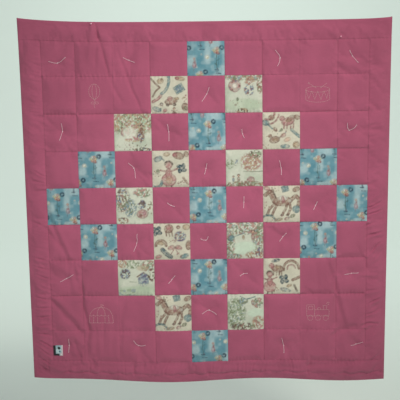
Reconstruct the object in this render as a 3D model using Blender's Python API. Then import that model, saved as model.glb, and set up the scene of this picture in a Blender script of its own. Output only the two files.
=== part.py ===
"""A tied patchwork quilt, about one metre square, pinned up flat by two ball-head pins.

The quilt's back lies in the plane Y = 0 and its front looks along -Y. X runs along its width and
Z runs up. The origin is on the back, behind the middle of the centre square.
"""

import math

import bmesh
import bpy
from mathutils import Matrix

# Driving dimensions, in metres.
SQUARE = 0.1016  # finished side of an inner square, 4 in
LEFT_COLUMN, RIGHT_COLUMN = 0.0903, 0.0845  # the outer columns and rows were trimmed narrower
TOP_ROW, BOTTOM_ROW = 0.0930, 0.0905
LEFT_BORDER, RIGHT_BORDER = 0.0590, 0.0575
TOP_BORDER, BOTTOM_BORDER = 0.0535, 0.0570
CLOTH = 0.0006  # cotton, with its pressed seam allowances
WADDING = 0.0070
GAP = 0.0003  # between neighbouring solids
TURNED_EDGE = 0.0010  # the border's cloth where it turns back round the wadding
PIN_HEAD_RADIUS = 0.0023
PIN_RADIUS = 0.00035
PIN_POINT = 0.0025  # length of the ground point
PIN_BEHIND = 0.0120  # how far the points stand out behind the quilt
PIN_SIDES = 12
LEFT_PIN = (-0.3100, 0.5000)
RIGHT_PIN = (0.3660, 0.4560)
LABEL_MIDDLE, LABEL_SIZE = (-0.4290, -0.4140), (0.0270, 0.0310)

# How the cloth gives when it is pinned up.
LEFT_TAPER, RIGHT_TAPER = 0.0045, 0.0070  # the sides draw in towards the bottom
CORNER_LIFT, CORNER_OUT, CORNER_REACH = 0.0170, 0.0030, 0.1200  # top left corner
SMALL_LIFT, SMALL_OUT, SMALL_REACH = 0.0050, 0.0010, 0.0400  # top right corner
HEM_WAVE, HEM_HALF_WAVE, HEM_CREST, HEM_REACH = 0.0050, 0.2500, 0.1400, 0.1000
HEEL_LIFT, HEEL_REACH = 0.0150, 0.0900  # bottom left corner

# Layers, from the back to the front, as distances from the back.
BACKING_FRONT = CLOTH
WADDING_BACK = BACKING_FRONT + GAP
WADDING_FRONT = WADDING_BACK + WADDING
TOP_BACK = WADDING_FRONT + GAP
TOP_FRONT = TOP_BACK + CLOTH
TRIM_BACK = TOP_FRONT + GAP

# The seam lines, left to right and top to bottom, with each cell halved so that it can follow a curve.
COLUMNS = 9
MIDDLE = (COLUMNS - 2) / 2 * SQUARE
SKY_CELLS = ((1, 5), (3, 5), (4, 2), (4, 8), (5, 1), (5, 5), (5, 9), (6, 2), (6, 8), (7, 5), (9, 5))
TOY_CELLS = ((2, 4), (3, 7), (4, 4), (5, 7), (6, 4), (7, 7), (8, 4))
SCENE_CELLS = ((2, 6), (3, 3), (4, 6), (5, 3), (6, 6), (7, 3), (8, 6))


def seam_lines(first_border, first, last, last_border):
    """Where the seams lie along one side, the quilt's two outer edges first and last."""
    inner = [-MIDDLE + SQUARE * i for i in range(COLUMNS - 1)]
    start, end = inner[0] - first, inner[-1] + last
    return [start - first_border, start, *inner, end, end + last_border]


X_LINES = seam_lines(LEFT_BORDER, LEFT_COLUMN, RIGHT_COLUMN, RIGHT_BORDER)
Z_LINES = [-z for z in seam_lines(TOP_BORDER, TOP_ROW, BOTTOM_ROW, BOTTOM_BORDER)]


def near(x, z, corner_x, corner_z, reach):
    """How much of a pull at a corner is left at a point: 1 at the corner, fading out over reach."""
    return math.exp(-math.hypot(x - corner_x, z - corner_z) / reach)


def hang(x, z):
    """Where a point of the flat quilt lies once the quilt is pinned up."""
    left, right, top, bottom = X_LINES[0], X_LINES[-1], Z_LINES[0], Z_LINES[-1]
    taper = (LEFT_TAPER if x < 0 else RIGHT_TAPER) * z / top
    lifted = near(x, z, left, top, CORNER_REACH)
    tweaked = near(x, z, right, top, SMALL_REACH)
    heel = near(x, z, left, bottom, HEEL_REACH)
    wave = math.cos(math.pi * (x - HEM_CREST) / HEM_HALF_WAVE) * math.exp((bottom - z) / HEM_REACH)
    new_x = x + taper * (x / right) ** 3 - CORNER_OUT * lifted + SMALL_OUT * tweaked
    new_z = z + CORNER_LIFT * lifted + SMALL_LIFT * tweaked + HEEL_LIFT * heel + HEM_WAVE * wave
    return new_x, new_z


def clear_scene():
    for old in list(bpy.data.objects):
        bpy.data.objects.remove(old)


def material(name, colour, roughness, metallic=0.0):
    made = bpy.data.materials.new(name)
    made.use_nodes = True
    shader = made.node_tree.nodes["Principled BSDF"]
    shader.inputs["Base Color"].default_value = (*colour, 1.0)
    shader.inputs["Roughness"].default_value = roughness
    shader.inputs["Metallic"].default_value = metallic
    return made


def finish_object(bm, name, finish):
    """Turns a bmesh into a named object with its own material."""
    bmesh.ops.recalc_face_normals(bm, faces=bm.faces)
    mesh = bpy.data.meshes.new(name)
    bm.to_mesh(mesh)
    bm.free()
    mesh.materials.append(finish.copy())
    made = bpy.data.objects.new(name, mesh)
    bpy.context.scene.collection.objects.link(made)
    return made


def halved(lines):
    """The lines with one more midway between each two."""
    return [p for a, b in zip(lines, lines[1:]) for p in (a, (a + b) / 2)] + [lines[-1]]


def sheet_of_cells(x_lines, z_lines, kept, back):
    """A flat bmesh of the cells that kept(column, row) chooses, facing -Y, at a distance from the back."""
    bm = bmesh.new()
    corners = {}

    def corner(i, j):
        if (i, j) not in corners:
            corners[i, j] = bm.verts.new((x_lines[i], -back, z_lines[j]))
        return corners[i, j]

    for i in range(len(x_lines) - 1):
        for j in range(len(z_lines) - 1):
            if kept(i, j):
                bm.faces.new((corner(i, j), corner(i, j + 1), corner(i + 1, j + 1), corner(i + 1, j)))
    bm.normal_update()
    return bm


def trim_outline(bm, width):
    """Takes a strip of this width off the outline."""
    strip = bmesh.ops.inset_region(bm, faces=bm.faces, thickness=width, use_boundary=True,
                                   use_even_offset=True)
    bmesh.ops.delete(bm, geom=strip["faces"], context="FACES")


def thicken(bm, faces, depth):
    """Extrudes faces by depth along Y, towards the front if depth is positive."""
    extruded = bmesh.ops.extrude_face_region(bm, geom=faces, use_keep_orig=True)
    moved = [g for g in extruded["geom"] if isinstance(g, bmesh.types.BMVert)]
    bmesh.ops.translate(bm, verts=moved, vec=(0, -depth, 0))


def hang_mesh(bm):
    for vertex in bm.verts:
        vertex.co.x, vertex.co.z = hang(vertex.co.x, vertex.co.z)


def cell_panel(name, finish, kept, back, depth, inset):
    """A flat panel over the cells that kept(column, row) chooses. Cells 1 to 9 each way are the squares."""
    bm = sheet_of_cells(halved(X_LINES), halved(Z_LINES), lambda i, j: kept(i // 2, j // 2), back)
    trim_outline(bm, inset)
    thicken(bm, bm.faces[:], depth)
    hang_mesh(bm)
    return finish_object(bm, name, finish)


def border_panel(name, finish, kept):
    """A border strip whose outer edge turns back round the wadding."""
    xs, zs = halved(X_LINES), halved(Z_LINES)
    xs = [xs[0], xs[0] + TURNED_EDGE, *xs[1:-1], xs[-1] - TURNED_EDGE, xs[-1]]
    zs = [zs[0], zs[0] - TURNED_EDGE, *zs[1:-1], zs[-1] + TURNED_EDGE, zs[-1]]

    def cell(index):
        """The cell, from 0 to 10, that one of the finer strips lies in."""
        return min(max((index - 1) // 2, 0), COLUMNS + 1)

    bm = sheet_of_cells(xs, zs, lambda i, j: kept(cell(i), cell(j)), TOP_BACK)
    trim_outline(bm, GAP / 2)
    thicken(bm, bm.faces[:], CLOTH)
    at_edge = [f for f in bm.faces if is_back_of_edge(f)]
    thicken(bm, at_edge, BACKING_FRONT + GAP - TOP_BACK)
    bmesh.ops.delete(bm, geom=at_edge, context="FACES")
    hang_mesh(bm)
    return finish_object(bm, name, finish)


def is_back_of_edge(face):
    """Whether a face is on the back of the outermost strip, before the cloth is hung."""
    middle = face.calc_center_median()
    if abs(middle.y + TOP_BACK) > GAP / 10:
        return False
    sides = (middle.x - X_LINES[0], X_LINES[-1] - middle.x, Z_LINES[0] - middle.z, middle.z - Z_LINES[-1])
    return min(sides) < TURNED_EDGE


def pin_hole(name, place):
    """A cutter, left out of the model, for the hole that a pin makes through every layer."""
    bpy.ops.mesh.primitive_cylinder_add(
        vertices=PIN_SIDES,
        radius=PIN_RADIUS + GAP,
        depth=6 * TOP_FRONT,
        location=(place[0], 0, place[1]),
        rotation=(math.pi / 2, 0, 0),
    )
    cutter = bpy.context.object
    cutter.name = name
    cutter.hide_render = True
    cutter.display_type = "WIRE"
    return cutter


def pierce(panel, cutters):
    for cutter in cutters:
        hole = panel.modifiers.new("pin hole", "BOOLEAN")
        hole.operation = "DIFFERENCE"
        hole.solver = "EXACT"
        hole.object = cutter


def pin(side, place, head_finish, shank_finish):
    """A straight pin through the quilt: a moulded ball head, and a steel shank with a ground point."""
    head = bmesh.new()
    bmesh.ops.create_uvsphere(head, u_segments=16, v_segments=10, radius=PIN_HEAD_RADIUS)
    centre = TOP_FRONT + GAP + PIN_HEAD_RADIUS
    bmesh.ops.translate(head, verts=head.verts, vec=(place[0], -centre, place[1]))
    ball = finish_object(head, f"pin_head_{side}", head_finish)
    ball.data.shade_smooth()

    shank = bmesh.new()
    length = TOP_FRONT + PIN_BEHIND - PIN_POINT
    bmesh.ops.create_cone(shank, cap_ends=True, segments=PIN_SIDES, radius1=PIN_RADIUS,
                          radius2=PIN_RADIUS, depth=length)
    end = [f for f in shank.faces if f.normal.z > 0.9]
    tip = [g for g in bmesh.ops.extrude_face_region(shank, geom=end)["geom"]
           if isinstance(g, bmesh.types.BMVert)]
    bmesh.ops.delete(shank, geom=end, context="FACES_ONLY")
    bmesh.ops.translate(shank, verts=tip, vec=(0, 0, PIN_POINT))
    bmesh.ops.scale(shank, verts=tip, vec=(0.2, 0.2, 1))
    turn = Matrix.Rotation(-math.pi / 2, 3, "X")
    bmesh.ops.rotate(shank, verts=shank.verts, matrix=turn, cent=(0, 0, 0))
    back = PIN_BEHIND - PIN_POINT - length / 2
    bmesh.ops.translate(shank, verts=shank.verts, vec=(place[0], back, place[1]))
    steel = finish_object(shank, f"pin_shank_{side}", shank_finish)
    steel.data.shade_smooth()
    steel.data.set_sharp_from_angle(angle=math.radians(40))


def arc(centre, radius, start, end, points):
    """Points along an arc, angles in degrees anticlockwise from the right."""
    angles = [math.radians(start + (end - start) * i / (points - 1)) for i in range(points)]
    return [(centre[0] + radius[0] * math.cos(a), centre[1] + radius[1] * math.sin(a)) for a in angles]


def balloon_outline():
    """A round balloon over its knot and string, 70 mm tall."""
    string = [(0.002, -0.012), (0.002, -0.036), (-0.002, -0.036), (-0.002, -0.012)]
    return arc((0, 0.012), (0.017, 0.022), -80, 260, 17) + string[::-1]


def drum_outline():
    """A toy drum seen from the side, with rounded heads."""
    return arc((0, 0.016), (0.030, 0.010), 0, 180, 9) + arc((0, -0.016), (0.030, 0.010), 180, 360, 9)


def tent_outline():
    """A round tent: a domed top with a flagpole over a wide base."""
    dome = arc((0, 0.002), (0.026, 0.020), 8, 86, 5) + [(0.001, 0.029), (-0.001, 0.029)]
    return [(0.034, -0.028), (0.034, 0.002)] + dome + [
        (-x, z) for x, z in reversed(arc((0, 0.002), (0.026, 0.020), 8, 86, 5))
    ] + [(-0.034, 0.002), (-0.034, -0.028)]


def engine_outline():
    """A toy engine: cab, boiler, chimney and a base for its wheels."""
    return [(0.034, -0.018), (0.034, 0.002), (0.026, 0.002), (0.026, 0.018), (0.016, 0.018), (0.016, 0.002),
            (-0.008, 0.002), (-0.008, 0.024), (-0.034, 0.024), (-0.034, -0.018)]


def stitched_motif(name, outline, row, column, finish):
    """The area that a stitched motif covers, as a thin plate on the middle of its square."""
    x = (X_LINES[column] + X_LINES[column + 1]) / 2
    z = (Z_LINES[row] + Z_LINES[row + 1]) / 2
    bm = bmesh.new()
    bm.faces.new([bm.verts.new((x + a, -TRIM_BACK, z + b)) for a, b in outline])
    thicken(bm, bm.faces[:], CLOTH / 2)
    hang_mesh(bm)
    return finish_object(bm, name, finish)


def label_patch(finish):
    """The woven label sewn on near the bottom left corner."""
    x, z = LABEL_MIDDLE
    half_x, half_z = LABEL_SIZE[0] / 2, LABEL_SIZE[1] / 2
    bm = sheet_of_cells([x - half_x, x + half_x], [z + half_z, z - half_z], lambda i, j: True, TRIM_BACK)
    thicken(bm, bm.faces[:], CLOTH)
    hang_mesh(bm)
    return finish_object(bm, "label", finish)


def corner_of(row, column):
    """The corner field that a plain square belongs to, or None if it lies inside the diamond."""
    half = (COLUMNS + 1) // 2
    if abs(row - half) + abs(column - half) <= half - 1:
        return None
    return ("top" if row < half else "bottom") + "_" + ("left" if column < half else "right")


def squares(rose, sky, toy, scene):
    """The 81 squares: each inner one is its own panel, and the ten plain ones in a corner are joined."""
    printed = {**dict.fromkeys(SKY_CELLS, ("sky_print", sky)),
               **dict.fromkeys(TOY_CELLS, ("toy_print", toy)),
               **dict.fromkeys(SCENE_CELLS, ("scene_print", scene))}
    for row in range(1, COLUMNS + 1):
        for column in range(1, COLUMNS + 1):
            if corner_of(row, column) is None:
                kind, finish = printed.get((row, column), ("plain", rose))
                cell_panel(f"{kind}_r{row}c{column}", finish,
                           lambda i, j, at=(column, row): (i, j) == at, TOP_BACK, CLOTH, GAP / 2)
    for field in ("top_left", "top_right", "bottom_left", "bottom_right"):
        cell_panel(f"plain_field_{field}", rose,
                   lambda i, j, at=field: 0 < i <= COLUMNS and 0 < j <= COLUMNS and corner_of(j, i) == at,
                   TOP_BACK, CLOTH, GAP / 2)


def borders(rose, cutters):
    """Top and bottom strips run the full width, and the side strips lie between them."""
    last = COLUMNS + 1
    top = border_panel("border_top", rose, lambda i, j: j == 0)
    pierce(top, cutters)
    border_panel("border_bottom", rose, lambda i, j: j == last)
    border_panel("border_left", rose, lambda i, j: i == 0 and 0 < j < last)
    border_panel("border_right", rose, lambda i, j: i == last and 0 < j < last)


def build():
    clear_scene()
    rose = material("rose cotton", (0.37, 0.10, 0.15), 0.85)
    sky = material("sky print cotton", (0.14, 0.29, 0.36), 0.85)
    toy = material("toy print cotton", (0.62, 0.58, 0.46), 0.85)
    scene = material("scene print cotton", (0.56, 0.50, 0.40), 0.85)
    white = material("polyester wadding", (0.80, 0.80, 0.78), 0.95)
    thread = material("stitching thread", (0.55, 0.28, 0.33), 0.60)
    satin = material("woven satin label", (0.24, 0.33, 0.40), 0.45)
    plastic = material("pearl plastic", (0.82, 0.55, 0.62), 0.25)
    steel = material("nickel-plated steel", (0.70, 0.70, 0.68), 0.25, 1.0)

    cutters = [pin_hole("left hole", LEFT_PIN), pin_hole("right hole", RIGHT_PIN)]
    backing = cell_panel("backing", rose, lambda i, j: True, 0.0, CLOTH, GAP / 2)
    wadding = cell_panel("wadding", white, lambda i, j: True, WADDING_BACK, WADDING,
                         TURNED_EDGE + GAP + GAP)
    pierce(backing, cutters)
    pierce(wadding, cutters)
    borders(rose, cutters)
    squares(rose, sky, toy, scene)
    stitched_motif("stitched_balloon", balloon_outline(), 2, 2, thread)
    stitched_motif("stitched_drum", drum_outline(), 2, 8, thread)
    stitched_motif("stitched_tent", tent_outline(), 8, 2, thread)
    stitched_motif("stitched_engine", engine_outline(), 8, 8, thread)
    label_patch(satin)
    pin("left", LEFT_PIN, plastic, steel)
    pin("right", RIGHT_PIN, plastic, steel)


build()
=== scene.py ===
"""A tied patchwork quilt held up by two ball-head pins: its cloth, wadding, ties, stitching and pins.

Lengths are in metres. The quilt is laid out flat in x (across) and z (up), given a height over its back
at each point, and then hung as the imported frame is: its back in the plane Y = 0, its front along -Y.
"""

import copy
import math

import bmesh
import bpy
import numpy as np
from mathutils import Matrix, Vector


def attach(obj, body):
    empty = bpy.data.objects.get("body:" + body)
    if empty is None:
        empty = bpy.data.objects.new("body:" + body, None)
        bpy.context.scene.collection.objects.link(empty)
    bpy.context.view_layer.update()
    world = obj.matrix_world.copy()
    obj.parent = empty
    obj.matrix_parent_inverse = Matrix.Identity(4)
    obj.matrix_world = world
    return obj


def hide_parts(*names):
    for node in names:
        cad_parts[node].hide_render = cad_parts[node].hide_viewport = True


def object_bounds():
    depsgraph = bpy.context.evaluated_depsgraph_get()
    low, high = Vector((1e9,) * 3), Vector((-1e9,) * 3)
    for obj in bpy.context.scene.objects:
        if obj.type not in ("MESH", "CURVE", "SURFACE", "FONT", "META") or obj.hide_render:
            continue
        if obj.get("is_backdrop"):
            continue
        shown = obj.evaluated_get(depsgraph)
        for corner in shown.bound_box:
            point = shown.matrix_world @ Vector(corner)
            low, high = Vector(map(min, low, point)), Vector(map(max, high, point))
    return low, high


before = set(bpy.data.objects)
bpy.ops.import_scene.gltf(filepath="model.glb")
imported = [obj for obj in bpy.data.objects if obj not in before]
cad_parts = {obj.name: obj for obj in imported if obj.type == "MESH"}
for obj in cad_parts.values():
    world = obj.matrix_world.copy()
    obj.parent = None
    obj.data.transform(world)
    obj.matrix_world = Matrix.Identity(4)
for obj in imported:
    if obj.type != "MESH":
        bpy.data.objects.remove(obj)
cad_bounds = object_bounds()

# The quilt's layout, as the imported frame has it.
SQUARE = 0.1016
LEFT_COLUMN, RIGHT_COLUMN = 0.0903, 0.0845
TOP_ROW, BOTTOM_ROW = 0.0930, 0.0905
LEFT_BORDER, RIGHT_BORDER = 0.0590, 0.0575
TOP_BORDER, BOTTOM_BORDER = 0.0535, 0.0570
COLUMNS = 9
SEAM_ALLOWANCE = 0.00635
PIN_HEAD_RADIUS = 0.0023
PIN_HEAD_CENTRE = 0.0114
LEFT_PIN, RIGHT_PIN = (-0.3100, 0.5000), (0.3660, 0.4560)
SKY_CELLS = ((1, 5), (3, 5), (4, 2), (4, 8), (5, 1), (5, 5), (5, 9), (6, 2), (6, 8), (7, 5), (9, 5))
TOY_CELLS = ((2, 4), (3, 7), (4, 4), (5, 7), (6, 4), (7, 7), (8, 4))
SCENE_CELLS = ((2, 6), (3, 3), (4, 6), (5, 3), (6, 6), (7, 3), (8, 6))
LABEL_SIZE = (0.0270, 0.0310)
LABEL_MIDDLE = (-0.4315, -0.4150)  # 2.5 mm nearer the border seam than its CAD solid

# How the quilt gives when it is pinned up.
LEFT_TAPER, RIGHT_TAPER = 0.0045, 0.0070
CORNER_LIFT, CORNER_OUT, CORNER_REACH = 0.0170, 0.0030, 0.1200
SMALL_LIFT, SMALL_OUT, SMALL_REACH = 0.0050, 0.0010, 0.0400
HEM_WAVE, HEM_HALF_WAVE, HEM_CREST, HEM_REACH = 0.0050, 0.2500, 0.1400, 0.1000
HEEL_LIFT, HEEL_REACH = 0.0150, 0.0900


def seam_lines(first_border, first, last, last_border):
    """Where the seams lie along one side, the quilt's two outer edges first and last."""
    middle = (COLUMNS - 2) / 2 * SQUARE
    inner = [-middle + SQUARE * i for i in range(COLUMNS - 1)]
    start, end = inner[0] - first, inner[-1] + last
    return [start - first_border, start, *inner, end, end + last_border]


X_LINES = np.array(seam_lines(LEFT_BORDER, LEFT_COLUMN, RIGHT_COLUMN, RIGHT_BORDER))
Z_LINES = -np.array(seam_lines(TOP_BORDER, TOP_ROW, BOTTOM_ROW, BOTTOM_BORDER))
LEFT, RIGHT, TOP, BOTTOM = X_LINES[0], X_LINES[-1], Z_LINES[0], Z_LINES[-1]


def near(x, z, corner_x, corner_z, reach):
    """How much of a pull at a point is left at (x, z): 1 at that point, fading out over reach."""
    return np.exp(-np.hypot(x - corner_x, z - corner_z) / reach)


def hang(x, z):
    """Where points of the flat quilt lie once the quilt is pinned up."""
    taper = np.where(x < 0, LEFT_TAPER, RIGHT_TAPER) * z / TOP
    lifted = near(x, z, LEFT, TOP, CORNER_REACH)
    tweaked = near(x, z, RIGHT, TOP, SMALL_REACH)
    heel = near(x, z, LEFT, BOTTOM, HEEL_REACH)
    wave = np.cos(math.pi * (x - HEM_CREST) / HEM_HALF_WAVE) * np.exp((BOTTOM - z) / HEM_REACH)
    new_x = x + taper * (x / RIGHT) ** 3 - CORNER_OUT * lifted + SMALL_OUT * tweaked
    new_z = z + CORNER_LIFT * lifted + SMALL_LIFT * tweaked + HEEL_LIFT * heel + HEM_WAVE * wave
    return new_x, new_z


def cell_middle(row, column):
    return (X_LINES[column] + X_LINES[column + 1]) / 2, (Z_LINES[row] + Z_LINES[row + 1]) / 2


# The ties: row and column of the square, then in millimetres and degrees how far the knot is off the
# middle of the square (x, z), and each tail's direction and length.
TIES = (
    (1, 1, -1, -11, 170, 24, 35, 28), (1, 3, -6, -3, 155, 17, -20, 17), (1, 7, -2, -2, 120, 26, -110, 23),
    (1, 9, -3, 1, 115, 18, -50, 24), (2, 5, 1, 1, 70, 20, -125, 24), (3, 1, 5, 5, 95, 22, -110, 26),
    (3, 4, -3, 0, 100, 22, -90, 25), (3, 6, -4, -8, 100, 14, -65, 12), (3, 9, -9, -2, 105, 22, 40, 25),
    (4, 3, 0, 3, 135, 21, -80, 28), (4, 5, -4, 0, 80, 15, -105, 17), (4, 7, 0, -2, 105, 23, -90, 19),
    (5, 4, -1, 0, 145, 13, -15, 12), (5, 6, -2, 6, 90, 17, -95, 16), (5, 8, -7, -5, 65, 12, -115, 14),
    (6, 3, 3, -4, 85, 28, -110, 24), (6, 5, -7, 2, 160, 16, 60, 13), (6, 7, 4, 10, 45, 15, -125, 17),
    (7, 1, 1, -1, -155, 20, 30, 23), (7, 4, -2, -6, 50, 15, -130, 16), (7, 6, -5, 7, -150, 12, 10, 12),
    (7, 9, 1, 5, -175, 20, 5, 20), (8, 5, -1, 6, -155, 22, -30, 24), (9, 1, 1, 0, 90, 21, -95, 21),
    (9, 3, 2, 2, 130, 22, 10, 20), (9, 7, 5, -4, 105, 25, -90, 21), (9, 9, 17, 1, -170, 16, 20, 20),
)
MM = 0.001


def knot_places():
    """The flat place of each tie's knot."""
    places = []
    for row, column, off_x, off_z, *_ in TIES:
        x, z = cell_middle(row, column)
        places.append((x + off_x * MM, z + off_z * MM))
    return places


KNOTS = knot_places()

# --- the quilt's relief ---------------------------------------------------------------------------

LOFT = 0.0086  # height of the top over the back where nothing lifts it or draws it down
EDGE_LOFT, EDGE_ROUND = 0.0050, 0.0120  # at the turned edge, and how far in the edge rounds off
TIE_LOFT = 0.0042  # where a tie draws the layers together
CLOTH = 0.0005
LEAST_LOFT, SQUASH = 0.0043, 0.0002  # where a deep crease meets the squashed wadding, and how softly
LATTICE = np.random.RandomState(11).uniform(-1, 1, (64, 64))


def lumps(x, z, size, seed=0):
    """Smooth noise from -1 to 1, with lumps about size across."""
    a, b = x / size + 17.3 * seed + 640, z / size + 9.7 * seed + 640
    i, j = np.floor(a).astype(int), np.floor(b).astype(int)
    s, t = a - i, b - j
    s, t = s * s * (3 - 2 * s), t * t * (3 - 2 * t)

    def value(m, n):
        return LATTICE[m % 64, n % 64]

    low = value(i, j) * (1 - s) + value(i + 1, j) * s
    high = value(i, j + 1) * (1 - s) + value(i + 1, j + 1) * s
    return low * (1 - t) + high * t


def bump(distance, width):
    """1 at no distance, falling off smoothly to nothing over about two widths."""
    return np.exp(-((distance / width) ** 2))


def ramp(value, start, end):
    """0 at start and 1 at end, with a smooth step between."""
    t = np.clip((value - start) / (end - start), 0, 1)
    return t * t * (3 - 2 * t)


GRID_STEP = 0.0065
GRID_X, GRID_Z = int((RIGHT - LEFT) / GRID_STEP), int((TOP - BOTTOM) / GRID_STEP)
SIM_FRAMES = 24
PUFF_CAP, HOLLOW_CAP = 0.0060, 0.0015
EXTRA_CLOTH = 0.020  # how much bigger the top was cut than the space it now hangs in


def stuffed_top():
    """Heights of the top over the flat quilt, on a regular grid, from a cloth simulation: the whole
    top is held at its edges and its ties, lightly at its seams, and pushed out by the wadding."""
    bm = bmesh.new()
    bmesh.ops.create_grid(bm, x_segments=GRID_X, y_segments=GRID_Z, size=0.5)
    turn = Matrix.Rotation(math.pi / 2, 3, "X")
    bmesh.ops.rotate(bm, verts=bm.verts, matrix=turn, cent=(0, 0, 0))
    bmesh.ops.scale(bm, verts=bm.verts, vec=(RIGHT - LEFT, 1, TOP - BOTTOM))
    bmesh.ops.translate(bm, verts=bm.verts, vec=((LEFT + RIGHT) / 2, 0, (TOP + BOTTOM) / 2))
    mesh = bpy.data.meshes.new("stuffed top")
    bm.to_mesh(mesh)
    bm.free()
    top = bpy.data.objects.new("stuffed top", mesh)
    bpy.context.scene.collection.objects.link(top)
    flat = np.empty(len(mesh.vertices) * 3)
    mesh.vertices.foreach_get("co", flat)
    flat = flat.reshape(-1, 3)
    x, z = flat[:, 0], flat[:, 2]

    held = np.zeros(len(x))
    held = np.maximum(held, 0.30 * bump(seam_distance(x, z), 0.004))
    edge = np.minimum.reduce([x - LEFT, RIGHT - x, TOP - z, z - BOTTOM])
    held = np.where(edge < GRID_STEP / 2, 1.0, held)
    for knot_x, knot_z in KNOTS:
        held = np.maximum(held, bump(np.hypot(x - knot_x, z - knot_z), 0.006))
    group = top.vertex_groups.new(name="held")
    for index in np.nonzero(held > 0.02)[0]:
        group.add([int(index)], float(held[index]), "REPLACE")

    cloth = top.modifiers.new("cloth", "CLOTH")
    wanted = cloth.settings
    wanted.quality = 4
    wanted.mass = 0.12
    wanted.tension_stiffness = wanted.compression_stiffness = 12
    wanted.shear_stiffness = 6
    wanted.bending_stiffness = 0.35
    wanted.uniform_pressure_force = 3.0
    wanted.use_pressure = True
    wanted.shrink_min = -EXTRA_CLOTH
    wanted.vertex_group_mass = "held"
    wanted.effector_weights.gravity = 0
    cloth.collision_settings.use_collision = False
    cloth.point_cache.frame_end = SIM_FRAMES
    scene = bpy.context.scene
    for number in range(1, SIM_FRAMES + 1):
        scene.frame_set(number)
    settled = top.evaluated_get(bpy.context.evaluated_depsgraph_get()).to_mesh()
    moved = np.empty(len(settled.vertices) * 3)
    settled.vertices.foreach_get("co", moved)
    scene.frame_set(1)
    bpy.data.objects.remove(top)
    heights = np.zeros((GRID_X + 1, GRID_Z + 1))
    i = np.rint((x - LEFT) / (RIGHT - LEFT) * GRID_X).astype(int)
    j = np.rint((z - BOTTOM) / (TOP - BOTTOM) * GRID_Z).astype(int)
    heights[i, j] = -moved.reshape(-1, 3)[:, 1]
    if np.median(heights) < 0:
        heights = -heights
    return np.clip(heights, -HOLLOW_CAP, PUFF_CAP)


def seam_distance(x, z):
    """Distance to the nearest seam of the top."""
    across, along = seams_near(x, z)
    return np.minimum(np.abs(across), np.abs(along))


FAR = 1.0


def seams_near(x, z):
    """Signed distances to the nearest upright seam and to the nearest level one, FAR where there is none."""
    inside_z = (z < Z_LINES[1] + 1e-6) & (z > Z_LINES[-2] - 1e-6)
    inside_x = (x > X_LINES[1] - 1e-6) & (x < X_LINES[-2] + 1e-6)
    upright = signed_nearest(x, X_LINES[1:-1])
    level = signed_nearest(z, Z_LINES[1:-1])
    border_level = signed_nearest(z, Z_LINES[[1, -2]])
    return np.where(inside_z, upright, FAR), np.where(inside_x, level, border_level)


def signed_nearest(value, lines):
    away = value[..., None] - np.asarray(lines)
    nearest = np.abs(away).argmin(axis=-1)
    return np.take_along_axis(away, nearest[..., None], axis=-1)[..., 0]


def fold(x, z, start, end, width):
    """A long soft ridge from start to end, 1 along its middle and dying away at its ends."""
    along = np.array(end) - np.array(start)
    length = np.hypot(*along)
    along = along / length
    away_x, away_z = x - start[0], z - start[1]
    run = (away_x * along[0] + away_z * along[1]) / length
    side = away_x * along[1] - away_z * along[0]
    ends = np.exp(-np.maximum(0, np.abs(run - 0.5) - 0.35) ** 2 / 0.03)
    return bump(side, width) * ends


# Folds that the hanging quilt has, in millimetres: start (x, z), end (x, z), half width, and height,
# with hollows below zero.
FOLDS = (
    (-299, 505, -294, 455, 3.5, -2.6), (-297, 480, -262, 355, 4.5, -2.2),
    (-295, 470, -299, 380, 4.5, -1.2), (-306, 500, -315, 400, 6, 1.2), (-310, 500, -385, 440, 6, -1.2),
    (-265, 360, -232, 285, 6, -1.4), (-236, 416, -182, 262, 4.5, -2), (-395, 190, -375, 150, 6, -1.3),
    (-448, -10, -362, -240, 8, -2), (-448, -66, -415, -112, 6, -1.4), (-436, -5, -350, -235, 8, 1.2),
    (-451, -262, -366, -357, 8, -2.6), (-440, -250, -352, -345, 8, 1.6),
    (-381, -150, -372, -200, 6, -2.2), (-396, -158, -391, -250, 5, -1.2),
    (-385, -385, -365, -445, 6, -1.8), (-362, -190, -356, -270, 5, -2.2),
    (-360, -270, -341, -350, 5.5, -2.6), (-341, -345, -347, -431, 6, -2),
    (-322, -330, -322, -440, 6, -1), (-295, -268, -301, -415, 6, -1.3), (-267, -300, -275, -430, 6, -1),
    (-240, -269, -256, -414, 6, -1.2), (325, -132, 383, -361, 8, -1.8), (338, -150, 396, -350, 9, 1.2),
    (262, -235, 300, -262, 6, -1), (340, -375, 415, -345, 6, -1.6), (415, -120, 445, -190, 6, -1.2),
    (300, -160, 310, -350, 6, -1), (190, 430, 240, 300, 7, -0.9), (360, 450, 330, 380, 5, -1),
    (366, 456, 345, 505, 5, -1.2), (366, 456, 392, 500, 5, -1.2), (20, -455, 260, -470, 7, -1.6),
    (260, -462, 420, -448, 7, -1.8), (-330, -462, -60, -452, 7, -1.3),
    (-430, -470, -330, -455, 6, -1.2),
)
FOLD_DEPTH = 1.7  # how much deeper than listed they hang


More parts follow.
